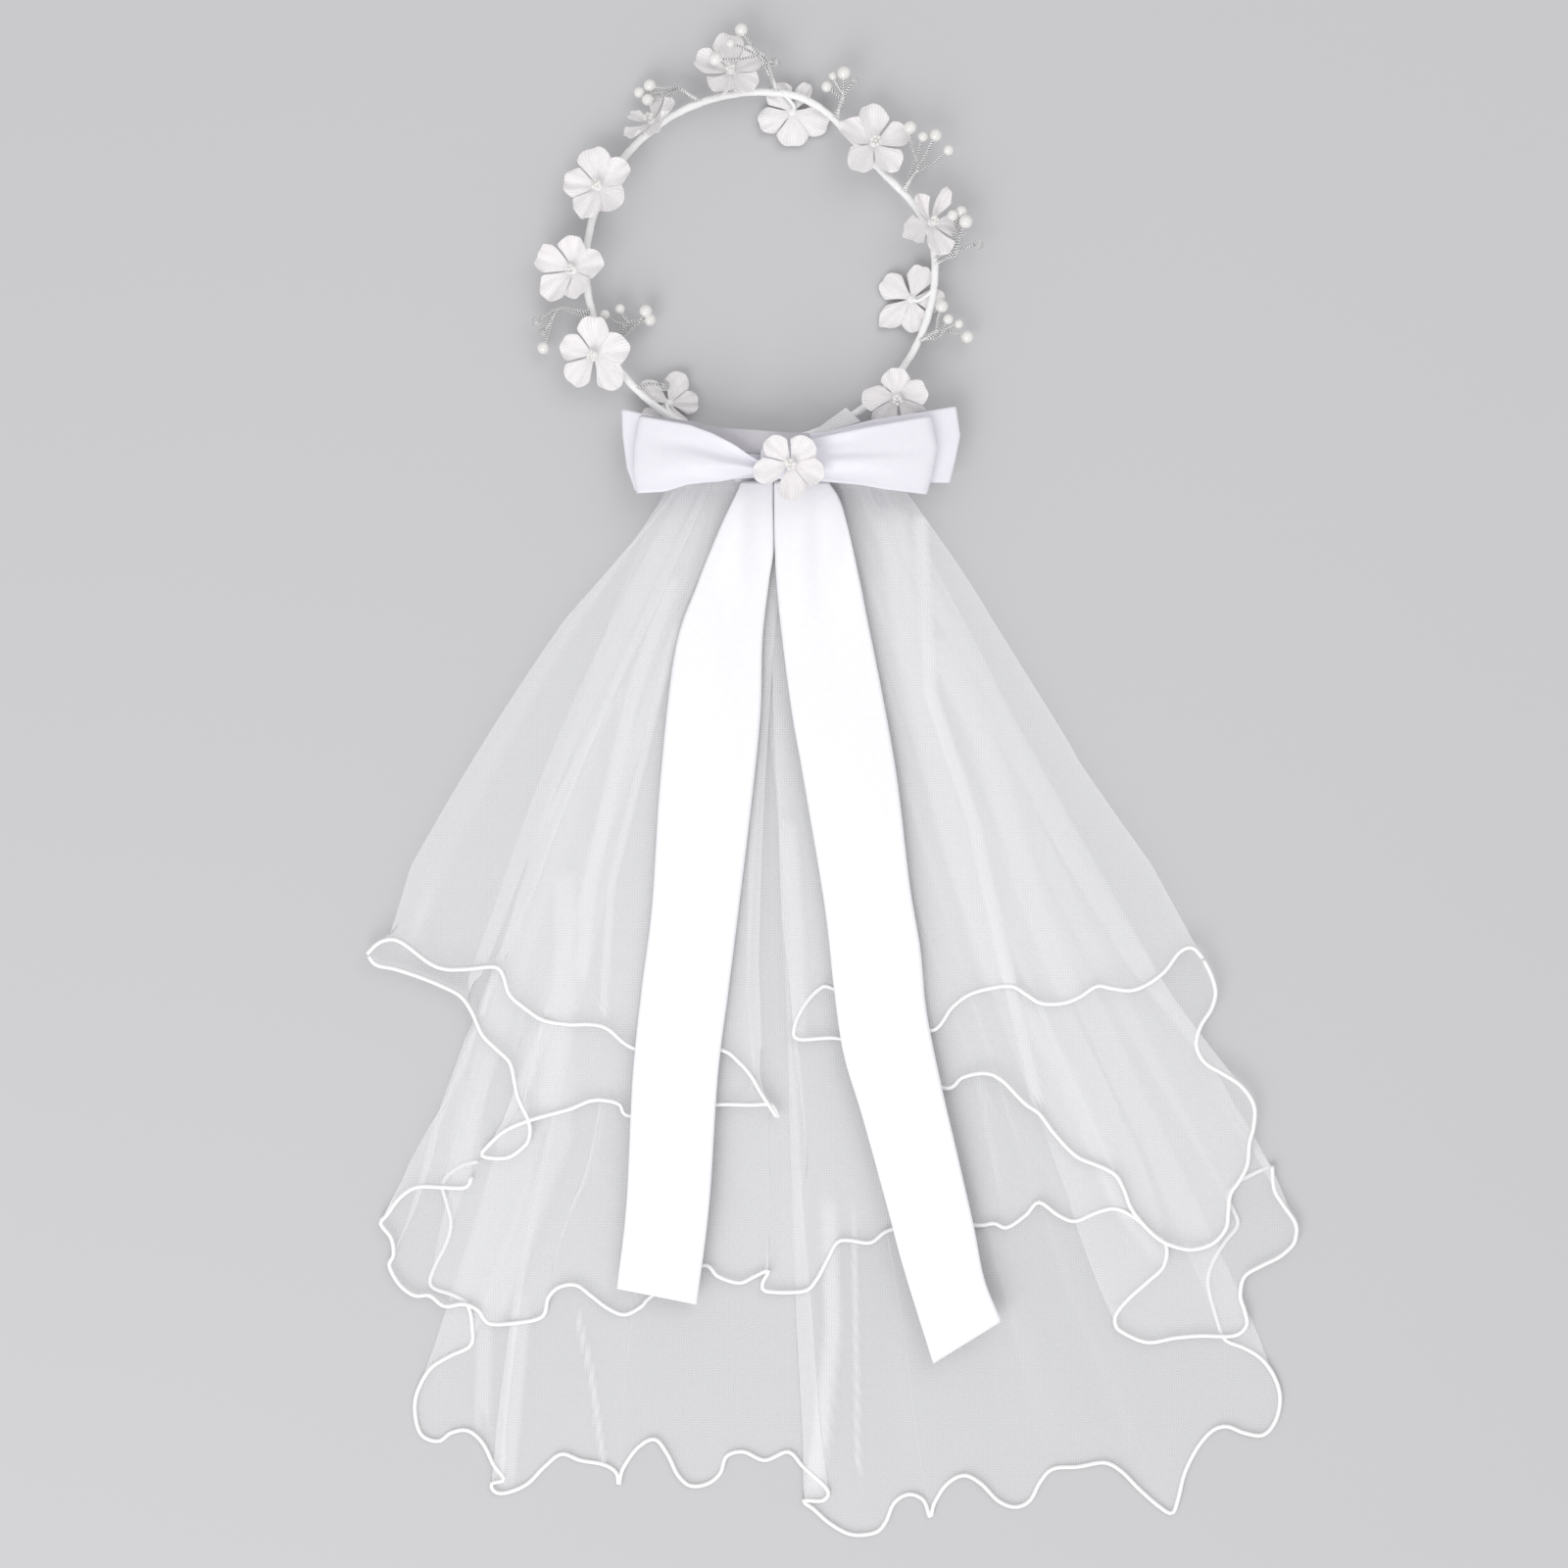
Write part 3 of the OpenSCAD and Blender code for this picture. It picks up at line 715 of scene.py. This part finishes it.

# the dull side of the back ribbon shows as a band above the front loops; its grey is painted shade
innerBand = {"upper": [(-56, -70.5), (-35, -73), (-20, -76.5), (0, -77.8), (14, -78.8), (23, -79)],
             "lower": [(-56, -78), (-20, -87), (4, -89), (23, -86)], "z": 18.4,
             "rows": 10, "columns": 60, "deep": 12}
points, uvs = [], []
for i in range(innerBand["rows"]):
    v = i / (innerBand["rows"] - 1)
    for x in np.linspace(innerBand["upper"][0][0], innerBand["upper"][-1][0], innerBand["columns"]):
        high = np.interp(x, *zip(*innerBand["upper"]))
        low = np.interp(x, *zip(*innerBand["lower"]))
        points.append((x, high + (low - high) * v, innerBand["z"] - 0.2 * (1 - v) ** 2))
        uvs.append((x * mm, v * (high - low) * mm))
bandFaces = gridFaces(innerBand["rows"], innerBand["columns"])
bandPiece = newPiece("bowInnerBand", points, bandFaces, satinBackAndPaintedShade, uvs)
settle(bandPiece, "bow_and_veil", "satin_ribbon")

# the knot: a short band wrapped round the pinched middle
knot = {"x": 7, "y": -93.5, "z": 20.0, "halfWide": 6.6, "deep": 7.5, "high": 6.0,
        "thickness": 0.4, "rows": 25, "columns": 40}
points, uvs = [], []
knotRows, knotColumns = knot["rows"], knot["columns"]
for i in range(knotRows):
    w = -1 + 2 * i / (knotRows - 1)
    for j in range(knotColumns):
        a = 2 * math.pi * j / knotColumns
        ridge = 0.5 * math.cos(3 * math.pi * w + 0.4)
        points.append((knot["x"] + knot["halfWide"] * w * (1 + 0.06 * math.sin(2 * a)),
                       knot["y"] + (knot["deep"] + ridge) * math.cos(a),
                       knot["z"] + (knot["high"] + ridge) * math.sin(a)))
        uvs.append((2 * math.pi * knot["deep"] * j / knotColumns * mm, knot["halfWide"] * w * mm))
# the knot uses the bow satin, whose darker colour is painted shade
knotBand = newPiece("bowKnot", points, gridFaces(knotRows, knotColumns, closed=True), satinBowPaintedShade, uvs)
addThickness(knotBand, knot["thickness"], offset=-1)
settle(knotBand, "bow_and_veil", "satin_ribbon", "bow_knot")
print("bow made")


tailRibbonCut = {"width": 40, "thickness": 0.3, "rows": 220, "columns": 23}


def tailRibbon(name, left, right, bend):
    # a strip between two edge lines, as x by y; bend gives the height of each point
    rows, columns = tailRibbonCut["rows"], tailRibbonCut["columns"]
    leftLine, rightLine = smoothPath(left, rows), smoothPath(right, rows)
    points, uvs = [], []
    run = 0.0
    for i in range(rows):
        if i:
            middleStep = leftLine[i] + rightLine[i] - leftLine[i - 1] - rightLine[i - 1]
            run += float(np.linalg.norm(middleStep / 2))
        for j in range(columns):
            v = j / (columns - 1)
            p = leftLine[i] + (rightLine[i] - leftLine[i]) * v
            points.append((p[0], p[1], bend(p[0], p[1], v)))
            uvs.append((run * mm, v * tailRibbonCut["width"] * mm))
    piece = newPiece(name, points, [tuple(reversed(f)) for f in gridFaces(rows, columns)], satinRibbon, uvs)
    addThickness(piece, tailRibbonCut["thickness"])
    return piece, run


def hump(x, y, cx, cy, wide, tall, height):
    return height * math.exp(-((x - cx) / wide) ** 2 - ((y - cy) / tall) ** 2)


def leftTailHeight(x, y, v):
    z = 10.2 + 0.5 * math.sin(y / 38) + 0.35 * math.sin(y / 17 + 3 * v)
    z += hump(x, y, -12, -122, 9, 26, 4.2) + hump(x, y, -22, -170, 10, 40, 1.6)
    return z - hump(x, y, -1, -138, 7, 24, 1.4)


def rightTailHeight(x, y, v):
    z = 11.4 + 0.5 * math.sin(y / 41 + 1) + 0.35 * math.sin(y / 19 + 3 * v)
    z += hump(x, y, 43, -128, 8, 26, 4.0) + hump(x, y, 18, -140, 9, 34, 3.2)
    return z - hump(x, y, 29, -128, 8, 24, 2.0)


leftTail, leftTailLength = tailRibbon(
    "leftTail",
    [(-9, -101), (-11, -106), (-20, -125), (-30, -150), (-40, -180), (-47, -240), (-51, -300), (-56, -340),
     (-60, -380), (-63, -440), (-67.5, -480)],
    [(6, -101), (6, -112), (6.2, -133), (4, -148), (1, -175), (0, -210), (-4, -250), (-10, -300),
     (-15, -340), (-20, -380), (-24, -440), (-30, -487.5)], leftTailHeight)
rightTail, rightTailLength = tailRibbon(
    "rightTail",
    [(6.3, -101), (6.3, -112), (6.7, -133), (8.5, -160), (14, -205), (20, -240), (30, -300), (34.5, -340),
     (39, -370), (48, -400), (59, -440), (67, -470), (81, -515)],
    [(32, -101), (38, -112), (46, -145), (50, -165), (57, -200), (64, -240), (70, -290), (75, -320),
     (78, -350), (85, -385), (92, -415), (100, -450), (105, -475), (113, -495)], rightTailHeight)
# the top of each tail stays under the knot
hinges = {"left_tail": (leftTail, -0.003, 0.009), "right_tail": (rightTail, 0.020, 0.0102)}
for body, (tail, hingeX, hingeZ) in hinges.items():
    bakeModifier(tail)
    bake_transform(tail)
    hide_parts(body)
print("tails made", round(leftTailLength), round(rightTailLength))


heading = {"x": (-40, 60), "y": -99.0}
tierGrid = {"step": 0.9, "rows": 60}
# a fan-cut tulle tier is gathered only lightly; deepest is the most one pleat laps, in millimetres
gather = {"ratio": 1.5, "deepest": 14.0, "mostThreads": 2.4, "edgeGlow": 0.3, "cord": 1.0}


def nearLine(xy, line):
    # distance in millimetres from each point to a line of listed points
    line = np.array(line, float)
    nearest = np.full(len(xy), 1e9)
    for a, b in zip(line[:-1], line[1:]):
        along = np.clip(((xy - a) @ (b - a)) / ((b - a) @ (b - a)), 0, 1)
        nearest = np.minimum(nearest, np.linalg.norm(xy - a - along[:, None] * (b - a), axis=1))
    return nearest


def veilSheet(name, hemPoints, spec):
    # a gathered sheet of net: pleats start at the heading and open out towards the hem line
    hemLine = smoothPath(hemPoints, 4000)
    count = int(pathLength(hemLine) / tierGrid["step"])
    hemLine = smoothPath(hemPoints, count)
    rng = np.random.default_rng(spec["seed"])
    u = np.linspace(0, 1, count)
    x0, x1 = spec["gather"]
    foldAt = spec.get("foldAt")
    if foldAt is None:
        gatherX = x0 + (x1 - x0) * u
        layer = np.zeros(count)
    else:
        # the sheet doubles back on itself at foldAt
        gatherX = np.where(u < foldAt, x0 + (x1 - x0) * u / foldAt,
                           x1 + (x0 - x1) * (u - foldAt) / (1 - foldAt))
        layer = 1 / (1 + np.exp((u - foldAt) / 0.006))
    passes = 1 if foldAt is None else 2
    length = pathLength(hemLine)
    flatTop = passes * abs(x1 - x0) * gather["ratio"]
    drift = 0.5 * np.sin(2 * math.pi * (2 * u + rng.uniform()))
    drift += 0.3 * np.sin(2 * math.pi * (5 * u + rng.uniform()))
    fine = 2 * math.pi * (spec["pleats"] * u + 0.6 * drift)
    broad = 2 * math.pi * (spec["bands"] * u + rng.uniform() + 0.25 * drift)
    rows = tierGrid["rows"]
    base = np.stack([gatherX, np.full(count, heading["y"])], axis=1)
    reach = hemLine - base
    runs = np.linalg.norm(reach, axis=1)
    aside = np.stack([-reach[:, 1], reach[:, 0]], axis=1) / runs[:, None]
    span = (gatherX - heading["x"][0]) / (heading["x"][1] - heading["x"][0])
    bulge = spec.get("bulge", (0, 0))
    points, netFullness = [], []
    for i in range(rows):
        v = i / (rows - 1)
        free = min(1.0, (1 - v) / 0.18)  # the bands die away into the hem
        xy = base + reach * v
        xy[:, 0] += (bulge[0] * (1 - span) + bulge[1] * span) * math.sin(math.pi * v)
        xy = xy + aside * (spec["bandReach"] * np.sin(broad) * free * min(1.0, v / 0.3))[:, None]
        # the pleats are as deep as it takes for the row to hold all of its cloth
        flatWidth = flatTop * (1 - v) + length * v
        shallow, deep = 0.0, gather["deepest"]
        for _ in range(14):
            fineReach = 0.5 * (shallow + deep)
            if pathLength(xy + aside * (fineReach * np.sin(fine))[:, None]) < flatWidth:
                shallow = fineReach
            else:
                deep = fineReach
        fineReach *= min(1.0, (1 - v) / 0.05)
        xy = xy + aside * (fineReach * np.sin(fine))[:, None]
        height = spec["z"] + spec["lift"] * layer + 0.55 * np.cos(fine) * (1 - 0.5 * v)
        height += 0.45 * np.cos(broad) * free
        step = np.linalg.norm(np.gradient(xy, axis=0), axis=1)
        flatStep = flatWidth / count
        fill = np.clip(flatStep / np.maximum(step, 1e-6), 0.85, gather["mostThreads"])
        fill = 1 + (fill - 1) * gather["edgeGlow"]
        for line, wide, strong in spec.get("creases", []):
            shape = np.exp(-(nearLine(xy, line) / wide) ** 4)
            fill += strong * shape
            height += 0.4 * shape
        points.append(np.column_stack([xy, height]))
        netFullness.append(fill)
    points = np.vstack(points)
    grid = np.arange(rows * count).reshape(rows, count)
    faces = np.stack([grid[:-1, :-1], grid[1:, :-1], grid[1:, 1:], grid[:-1, 1:]], axis=-1).reshape(-1, 4)
    uvs = np.column_stack([np.tile(u * length * mm, rows), np.repeat(np.linspace(0, 1, rows), count) * 0.3])
    sheet = newPiece(name, points, faces, tulleNet, uvs)
    sheet.visible_shadow = False  # keeps the table under the net evenly lit
    cover = sheet.data.attributes.new("netFullness", "FLOAT", "POINT")
    cover.data.foreach_set("value", np.concatenate(netFullness).astype(np.float32))
    sheet.data.update()
    edge = points[-count:]
    hemTube = joinTubes(name + "Hem", [tubeMesh(edge[::2], gather["cord"], 8)], satinCord)
    drops = f"drop {round(runs.mean())} mean and {round(runs.max())} longest"
    print(name, "hem", round(length), "mm,", drops)
    return sheet, hemTube, length, flatTop, float(runs.mean()), float(runs.max())


topLeftHem = [
    (-185, -323), (-180, -318), (-174, -316), (-168, -318), (-156, -327), (-148, -330), (-138, -330),
    (-125, -329), (-121, -333), (-118, -342), (-110, -349), (-102, -354), (-90, -356), (-80, -356),
    (-72, -358), (-60, -367), (-40, -369), (-19, -368), (-10, -374), (-4, -381), (0, -388), (8, -400),
    (5, -394), (-5, -394), (-21, -394), (-40, -398), (-62, -399), (-66, -394), (-72, -392), (-80, -392),
    (-90, -396), (-108, -401), (-120, -406), (-128, -413), (-131, -418), (-120, -419), (-113, -415),
    (-109, -410), (-109, -402), (-114, -391), (-116, -382), (-118, -374), (-124, -368), (-131, -361),
    (-136, -350), (-141, -343), (-148, -339), (-160, -334), (-172, -330), (-181, -328), (-185, -323)]
topRightHem = [
    (208, -325), (203, -320), (197, -322), (190, -331), (182, -337), (174, -340), (165, -339), (158, -338),
    (150, -343), (142, -346), (132, -346), (125, -342), (118, -338), (108, -339), (98, -342), (90, -348),
    (80, -359), (60, -352), (34, -339), (27, -340), (20, -348), (16, -357), (18, -363), (39, -363),
    (60, -374), (86, -386), (95, -381), (105, -379), (113, -382), (124, -393), (131, -398),
    (137, -406), (144, -414),
    (150, -419), (160, -423), (167, -427), (171, -434), (174, -442), (179, -449), (186, -456), (193, -460),
    (203, -462), (213, -459), (219, -452), (220, -445), (221, -436), (225, -430), (229, -422), (230, -412),
    (232, -404), (232, -394), (226, -385), (217, -379), (209, -374), (205, -366), (207, -357), (212, -349),
    (214, -341), (212, -333), (208, -325)]
middleHem = [
    (-136, -428), (-139, -433), (-150, -433), (-162, -433), (-170, -438), (-176, -446), (-179, -450),
    (-174, -457), (-173, -465), (-175, -470), (-170, -479), (-163, -484), (-156, -484), (-149, -489),
    (-140, -488), (-133, -491), (-128, -497), (-116, -497), (-103, -494), (-100, -485), (-95, -480),
    (-87, -479), (-80, -484), (-72, -490), (-64, -493), (-56, -489), (-51, -484), (-28, -470), (-20, -475),
    (-10, -478), (-3, -475), (4, -472), (1, -478), (3, -482), (20, -482), (26, -477), (31, -468),
    (36, -459), (42, -458), (52, -459), (61, -453), (80, -450), (102, -451), (110, -450), (116, -452),
    (125, -446), (131, -440), (140, -446), (148, -449), (158, -445), (167, -443), (176, -447), (184, -454),
    (191, -460), (190, -470), (183, -477), (174, -485), (168, -492), (167, -497), (170, -501), (182, -506),
    (195, -504), (207, -503), (223, -503), (229, -498), (228, -491), (226, -484), (228, -475), (236, -470),
    (244, -466), (250, -461), (252, -457), (252, -450), (246, -441), (242, -434), (241, -423)]
bottomHem = [
    (-133, -421), (-141, -423), (-148, -428), (-150, -433), (-148, -441), (-146, -450), (-148, -459),
    (-153, -469), (-156, -477), (-154, -481), (-145, -484), (-138, -489), (-136, -500), (-137, -508),
    (-147, -513), (-156, -519), (-162, -530), (-163, -540), (-160, -550), (-152, -553), (-146, -549),
    (-138, -548), (-131, -554), (-126, -564), (-121, -571), (-127, -573), (-125, -577), (-119, -577),
    (-110, -573), (-102, -565), (-94, -559), (-85, -562), (-74, -564), (-68, -568), (-67, -574), (-65, -566),
    (-58, -556), (-50, -552), (-44, -559), (-39, -569), (-33, -574), (-25, -573), (-19, -568), (-16, -560),
    (-8, -558), (2, -562), (13, -558), (20, -565), (27, -571), (32, -577), (29, -581), (20, -581),
    (25, -585), (33, -592), (43, -597), (54, -596), (59, -591), (63, -582), (70, -578), (77, -581),
    (80, -589), (82, -582), (88, -573), (96, -569), (104, -573), (112, -581), (120, -584), (127, -581),
    (132, -572), (138, -566), (150, -565), (162, -563), (170, -567), (178, -575), (187, -583), (194, -587),
    (197, -580), (200, -568), (206, -556), (213, -548), (220, -546), (228, -549), (237, -550), (243, -543),
    (245, -532), (242, -522), (236, -514), (228, -509), (219, -505), (215, -495), (211, -479), (213, -469),
    (219, -459), (225, -451), (223, -444), (220, -437), (225, -431), (232, -427), (241, -423)]

veil = {
    "veilTopLeft": (topLeftHem, {
        "gather": (-40, 16), "foldAt": 0.43, "z": 6.0, "lift": 1.6, "seed": 11, "bulge": (-9, 0),
        "pleats": 9, "bands": 5, "bandReach": 6.0,
        "creases": [([(-42, -150), (-60, -200), (-80, -290), (-84, -330)], 3.5, 0.9),
                    ([(-40, -170), (-70, -290), (-74, -350)], 2.0, 0.7),
                    ([(-92, -290), (-92, -340), (-100, -390)], 5.0, 0.7),
                    ([(8, -400), (27, -378), (30, -365)], 1.2, 1.2)]}),
    "veilTopRight": (topRightHem, {
        "gather": (60, 12), "foldAt": 0.31, "z": 6.2, "lift": 1.8, "seed": 12, "bulge": (0, -6),
        "pleats": 9, "bands": 5, "bandReach": 7.0,
        "creases": [([(75, -120), (80, -200), (100, -260), (118, -340), (130, -390)], 3.0, 1.3),
                    ([(62, -120), (72, -190), (92, -270), (112, -335)], 7.0, 0.8),
                    ([(85, -180), (105, -220), (125, -290), (145, -340)], 6.0, 0.6),
                    ([(13, -265), (17, -310), (18, -357)], 4.0, 0.8)]}),
    "veilMiddle": (middleHem, {
        "gather": (-40, 60), "z": 3.6, "lift": 0, "seed": 13, "bulge": (-4, -8),
        "pleats": 11, "bands": 6, "bandReach": 9.0,
        "creases": [([(-65, -200), (-83, -225), (-100, -258), (-120, -290), (-137, -325), (-142, -340),
                      (-165, -415), (-179, -450)], 1.2, 2.2),
                    ([(-92, -340), (-95, -410), (-128, -497)], 6.0, 0.8),
                    ([(118, -340), (145, -380), (170, -440), (185, -460)], 5.0, 0.7)]}),
    "veilBottom": (bottomHem, {
        "gather": (-38, 58), "z": 1.6, "lift": 0, "seed": 14, "bulge": (-2, -8),
        "pleats": 11, "bands": 4, "bandReach": 6.0,
        "creases": [([(32, -440), (34, -500), (28, -555), (25, -572)], 4.0, 1.2),
                    ([(44, -440), (46, -570)], 1.2, 1.0),
                    ([(-130, -490), (-131, -540)], 4.0, 0.8),
                    ([(-112, -490), (-119, -568)], 4.0, 0.9),
                    ([(-87, -492), (-80, -520), (-74, -565)], 1.2, 1.1)]}),
}
madeVeil = {}
for name, (hemPoints, spec) in veil.items():
    madeVeil[name] = veilSheet(name, hemPoints, spec)
replacedBy = {"veilTopLeft": "top", "veilTopRight": None, "veilMiddle": "middle", "veilBottom": "bottom"}
for name, made in madeVeil.items():
    sheet, hemTube = made[:2]
    tier = replacedBy[name]
    settle(sheet, "bow_and_veil", "tulle", *([f"veil_{tier}_tier"] if tier else []))
    settle(hemTube, "bow_and_veil", "satin_cord", *([f"veil_{tier}_hem"] if tier else []))
print("veil made")


headingBand = {"x": -42, "y": -93.5, "z": 1.2, "long": 104, "deep": 11, "thickness": 1.2,
               "rows": 9, "columns": 160, "pucker": 0.35, "ripple": 0.15}
points, uvs = [], []
for i in range(headingBand["rows"]):
    v = i / (headingBand["rows"] - 1)
    for j in range(headingBand["columns"]):
        w = j / (headingBand["columns"] - 1)
        pucker = headingBand["pucker"] * math.sin(w * 120) * math.sin(math.pi * v)
        pucker += headingBand["ripple"] * math.sin(w * 290 + 2)
        along, down = headingBand["long"] * w, headingBand["deep"] * v
        points.append((headingBand["x"] + along, headingBand["y"] - down, headingBand["z"] + pucker))
        uvs.append((along * mm, down * mm))
headingFaces = [tuple(reversed(f)) for f in gridFaces(headingBand["rows"], headingBand["columns"])]
band = newPiece("veilHeading", points, headingFaces, satinRibbon, uvs)
addThickness(band, headingBand["thickness"])
settle(band, "bow_and_veil", "satin_ribbon", "veil_heading")

# a corner of the net stands up behind the right loop
cornerEdge = {"foot": [(21, -81), (47, -73)], "tip": [(31, -73), (40, -66.5)], "z": (12.6, 11.8),
              "rows": 12, "columns": 16, "fullness": 3.2, "thinner": 0.8}
points, netFullness = [], []
cornerRows, cornerColumns = cornerEdge["rows"], cornerEdge["columns"]
foot, tip = np.array(cornerEdge["foot"], float), np.array(cornerEdge["tip"], float)
for i in range(cornerRows):
    v = i / (cornerRows - 1)
    for j in range(cornerColumns):
        w = j / (cornerColumns - 1)
        low = foot[0] + (foot[1] - foot[0]) * w
        high = tip[0] + (tip[1] - tip[0]) * w
        lift = cornerEdge["z"][0] + (cornerEdge["z"][1] - cornerEdge["z"][0]) * v
        points.append((*(low + (high - low) * v), lift + 0.3 * math.sin(6 * w + 2 * v)))
        netFullness.append(cornerEdge["fullness"] - cornerEdge["thinner"] * math.sin(math.pi * w))
corner = newPiece("veilCorner", points, [tuple(reversed(f)) for f in gridFaces(cornerRows, cornerColumns)],
                  tulleNet)
corner.visible_shadow = False
cover = corner.data.attributes.new("netFullness", "FLOAT", "POINT")
cover.data.foreach_set("value", netFullness)
settle(corner, "bow_and_veil", "tulle")

casing = {"half": 12, "y": -81.3, "radius": 2.4, "columns": 15, "thickness": 0.5, "pucker": 0.25,
          "tongue": [(-101, 7.0), (-94, 7.1), (-88, 6.4), (-84.5, 5.1)]}
points, uvs = [], []
route = [(casing["y"] + casing["radius"] * math.cos(a), ring["z"] + casing["radius"] * math.sin(a))
         for a in np.linspace(-0.5 * math.pi, 1.42 * math.pi, 40)]
route = casing["tongue"] + route
for i, (y, z) in enumerate(route):
    for j in range(casing["columns"]):
        w = -1 + 2 * j / (casing["columns"] - 1)
        points.append((casing["half"] * w, y, z + casing["pucker"] * math.sin(5 * w + i * 0.3)))
        uvs.append((i * 1.2 * mm, casing["half"] * w * mm))
loopBand = newPiece("ringCasing", points, gridFaces(len(route), casing["columns"]), satinRibbon, uvs)
addThickness(loopBand, casing["thickness"])
settle(loopBand, "bow_and_veil", "satin_ribbon", "ring_casing")
print("heading and casing made")


studio = {"tableHalf": 3.0, "room": 0.69, "aim": (0, -0.24, 0), "lens": 85, "sensor": 36,
          "cameraAt": (0.011, -0.243, 1.748), "netLayers": 48}
half = studio["tableHalf"]
floor = newPiece("tableTop", [(-half / mm, -half / mm, 0), (half / mm, -half / mm, 0),
                              (half / mm, half / mm, 0), (-half / mm, half / mm, 0)],
                 [(0, 1, 2, 3)], paleTable, smooth=False)

world = bpy.data.worlds.new("softRoom")
world.use_nodes = True
world.node_tree.nodes["Background"].inputs[0].default_value = (1, 1, 1, 1)
world.node_tree.nodes["Background"].inputs[1].default_value = studio["room"]
scene.world = world
# place, size and power of each lamp, in metres and watts
lamps = {"key": ((-0.7, -1.7, 1.7), 1.7, 25.0), "fill": ((0.9, 0.9, 2.0), 1.8, 9.0)}
for name, (place, size, power) in lamps.items():
    lamp = bpy.data.lights.new(name, "AREA")
    lamp.size = size
    lamp.energy = power
    holder = bpy.data.objects.new(name, lamp)
    holder.location = place
    aim = np.array(studio["aim"]) - np.array(place)
    holder.rotation_mode = "QUATERNION"
    holder.rotation_quaternion = Vector(aim).to_track_quat("-Z", "Y")
    scene.collection.objects.link(holder)

camera = bpy.data.cameras.new("camera")
camera.lens = studio["lens"]
camera.sensor_width = studio["sensor"]
cameraHolder = bpy.data.objects.new("camera", camera)
cameraHolder.location = studio["cameraAt"]
scene.collection.objects.link(cameraHolder)
scene.camera = cameraHolder
scene.view_settings.view_transform = "Standard"
scene.cycles.transparent_max_bounces = studio["netLayers"]
print("light and camera ready")


def outlineArea(ring2d):
    # area inside a closed outline, in square metres
    pairs = zip(ring2d, ring2d[1:] + ring2d[:1])
    return 0.5 * abs(sum(a[0] * b[1] - b[0] * a[1] for a, b in pairs)) * mm * mm


# the corner and the band lie flat, so each is cut to the outline it lies in
cornerArea = outlineArea([foot[0], foot[1], tip[1], tip[0]])
bandArea = outlineArea(innerBand["upper"] + innerBand["lower"][::-1])
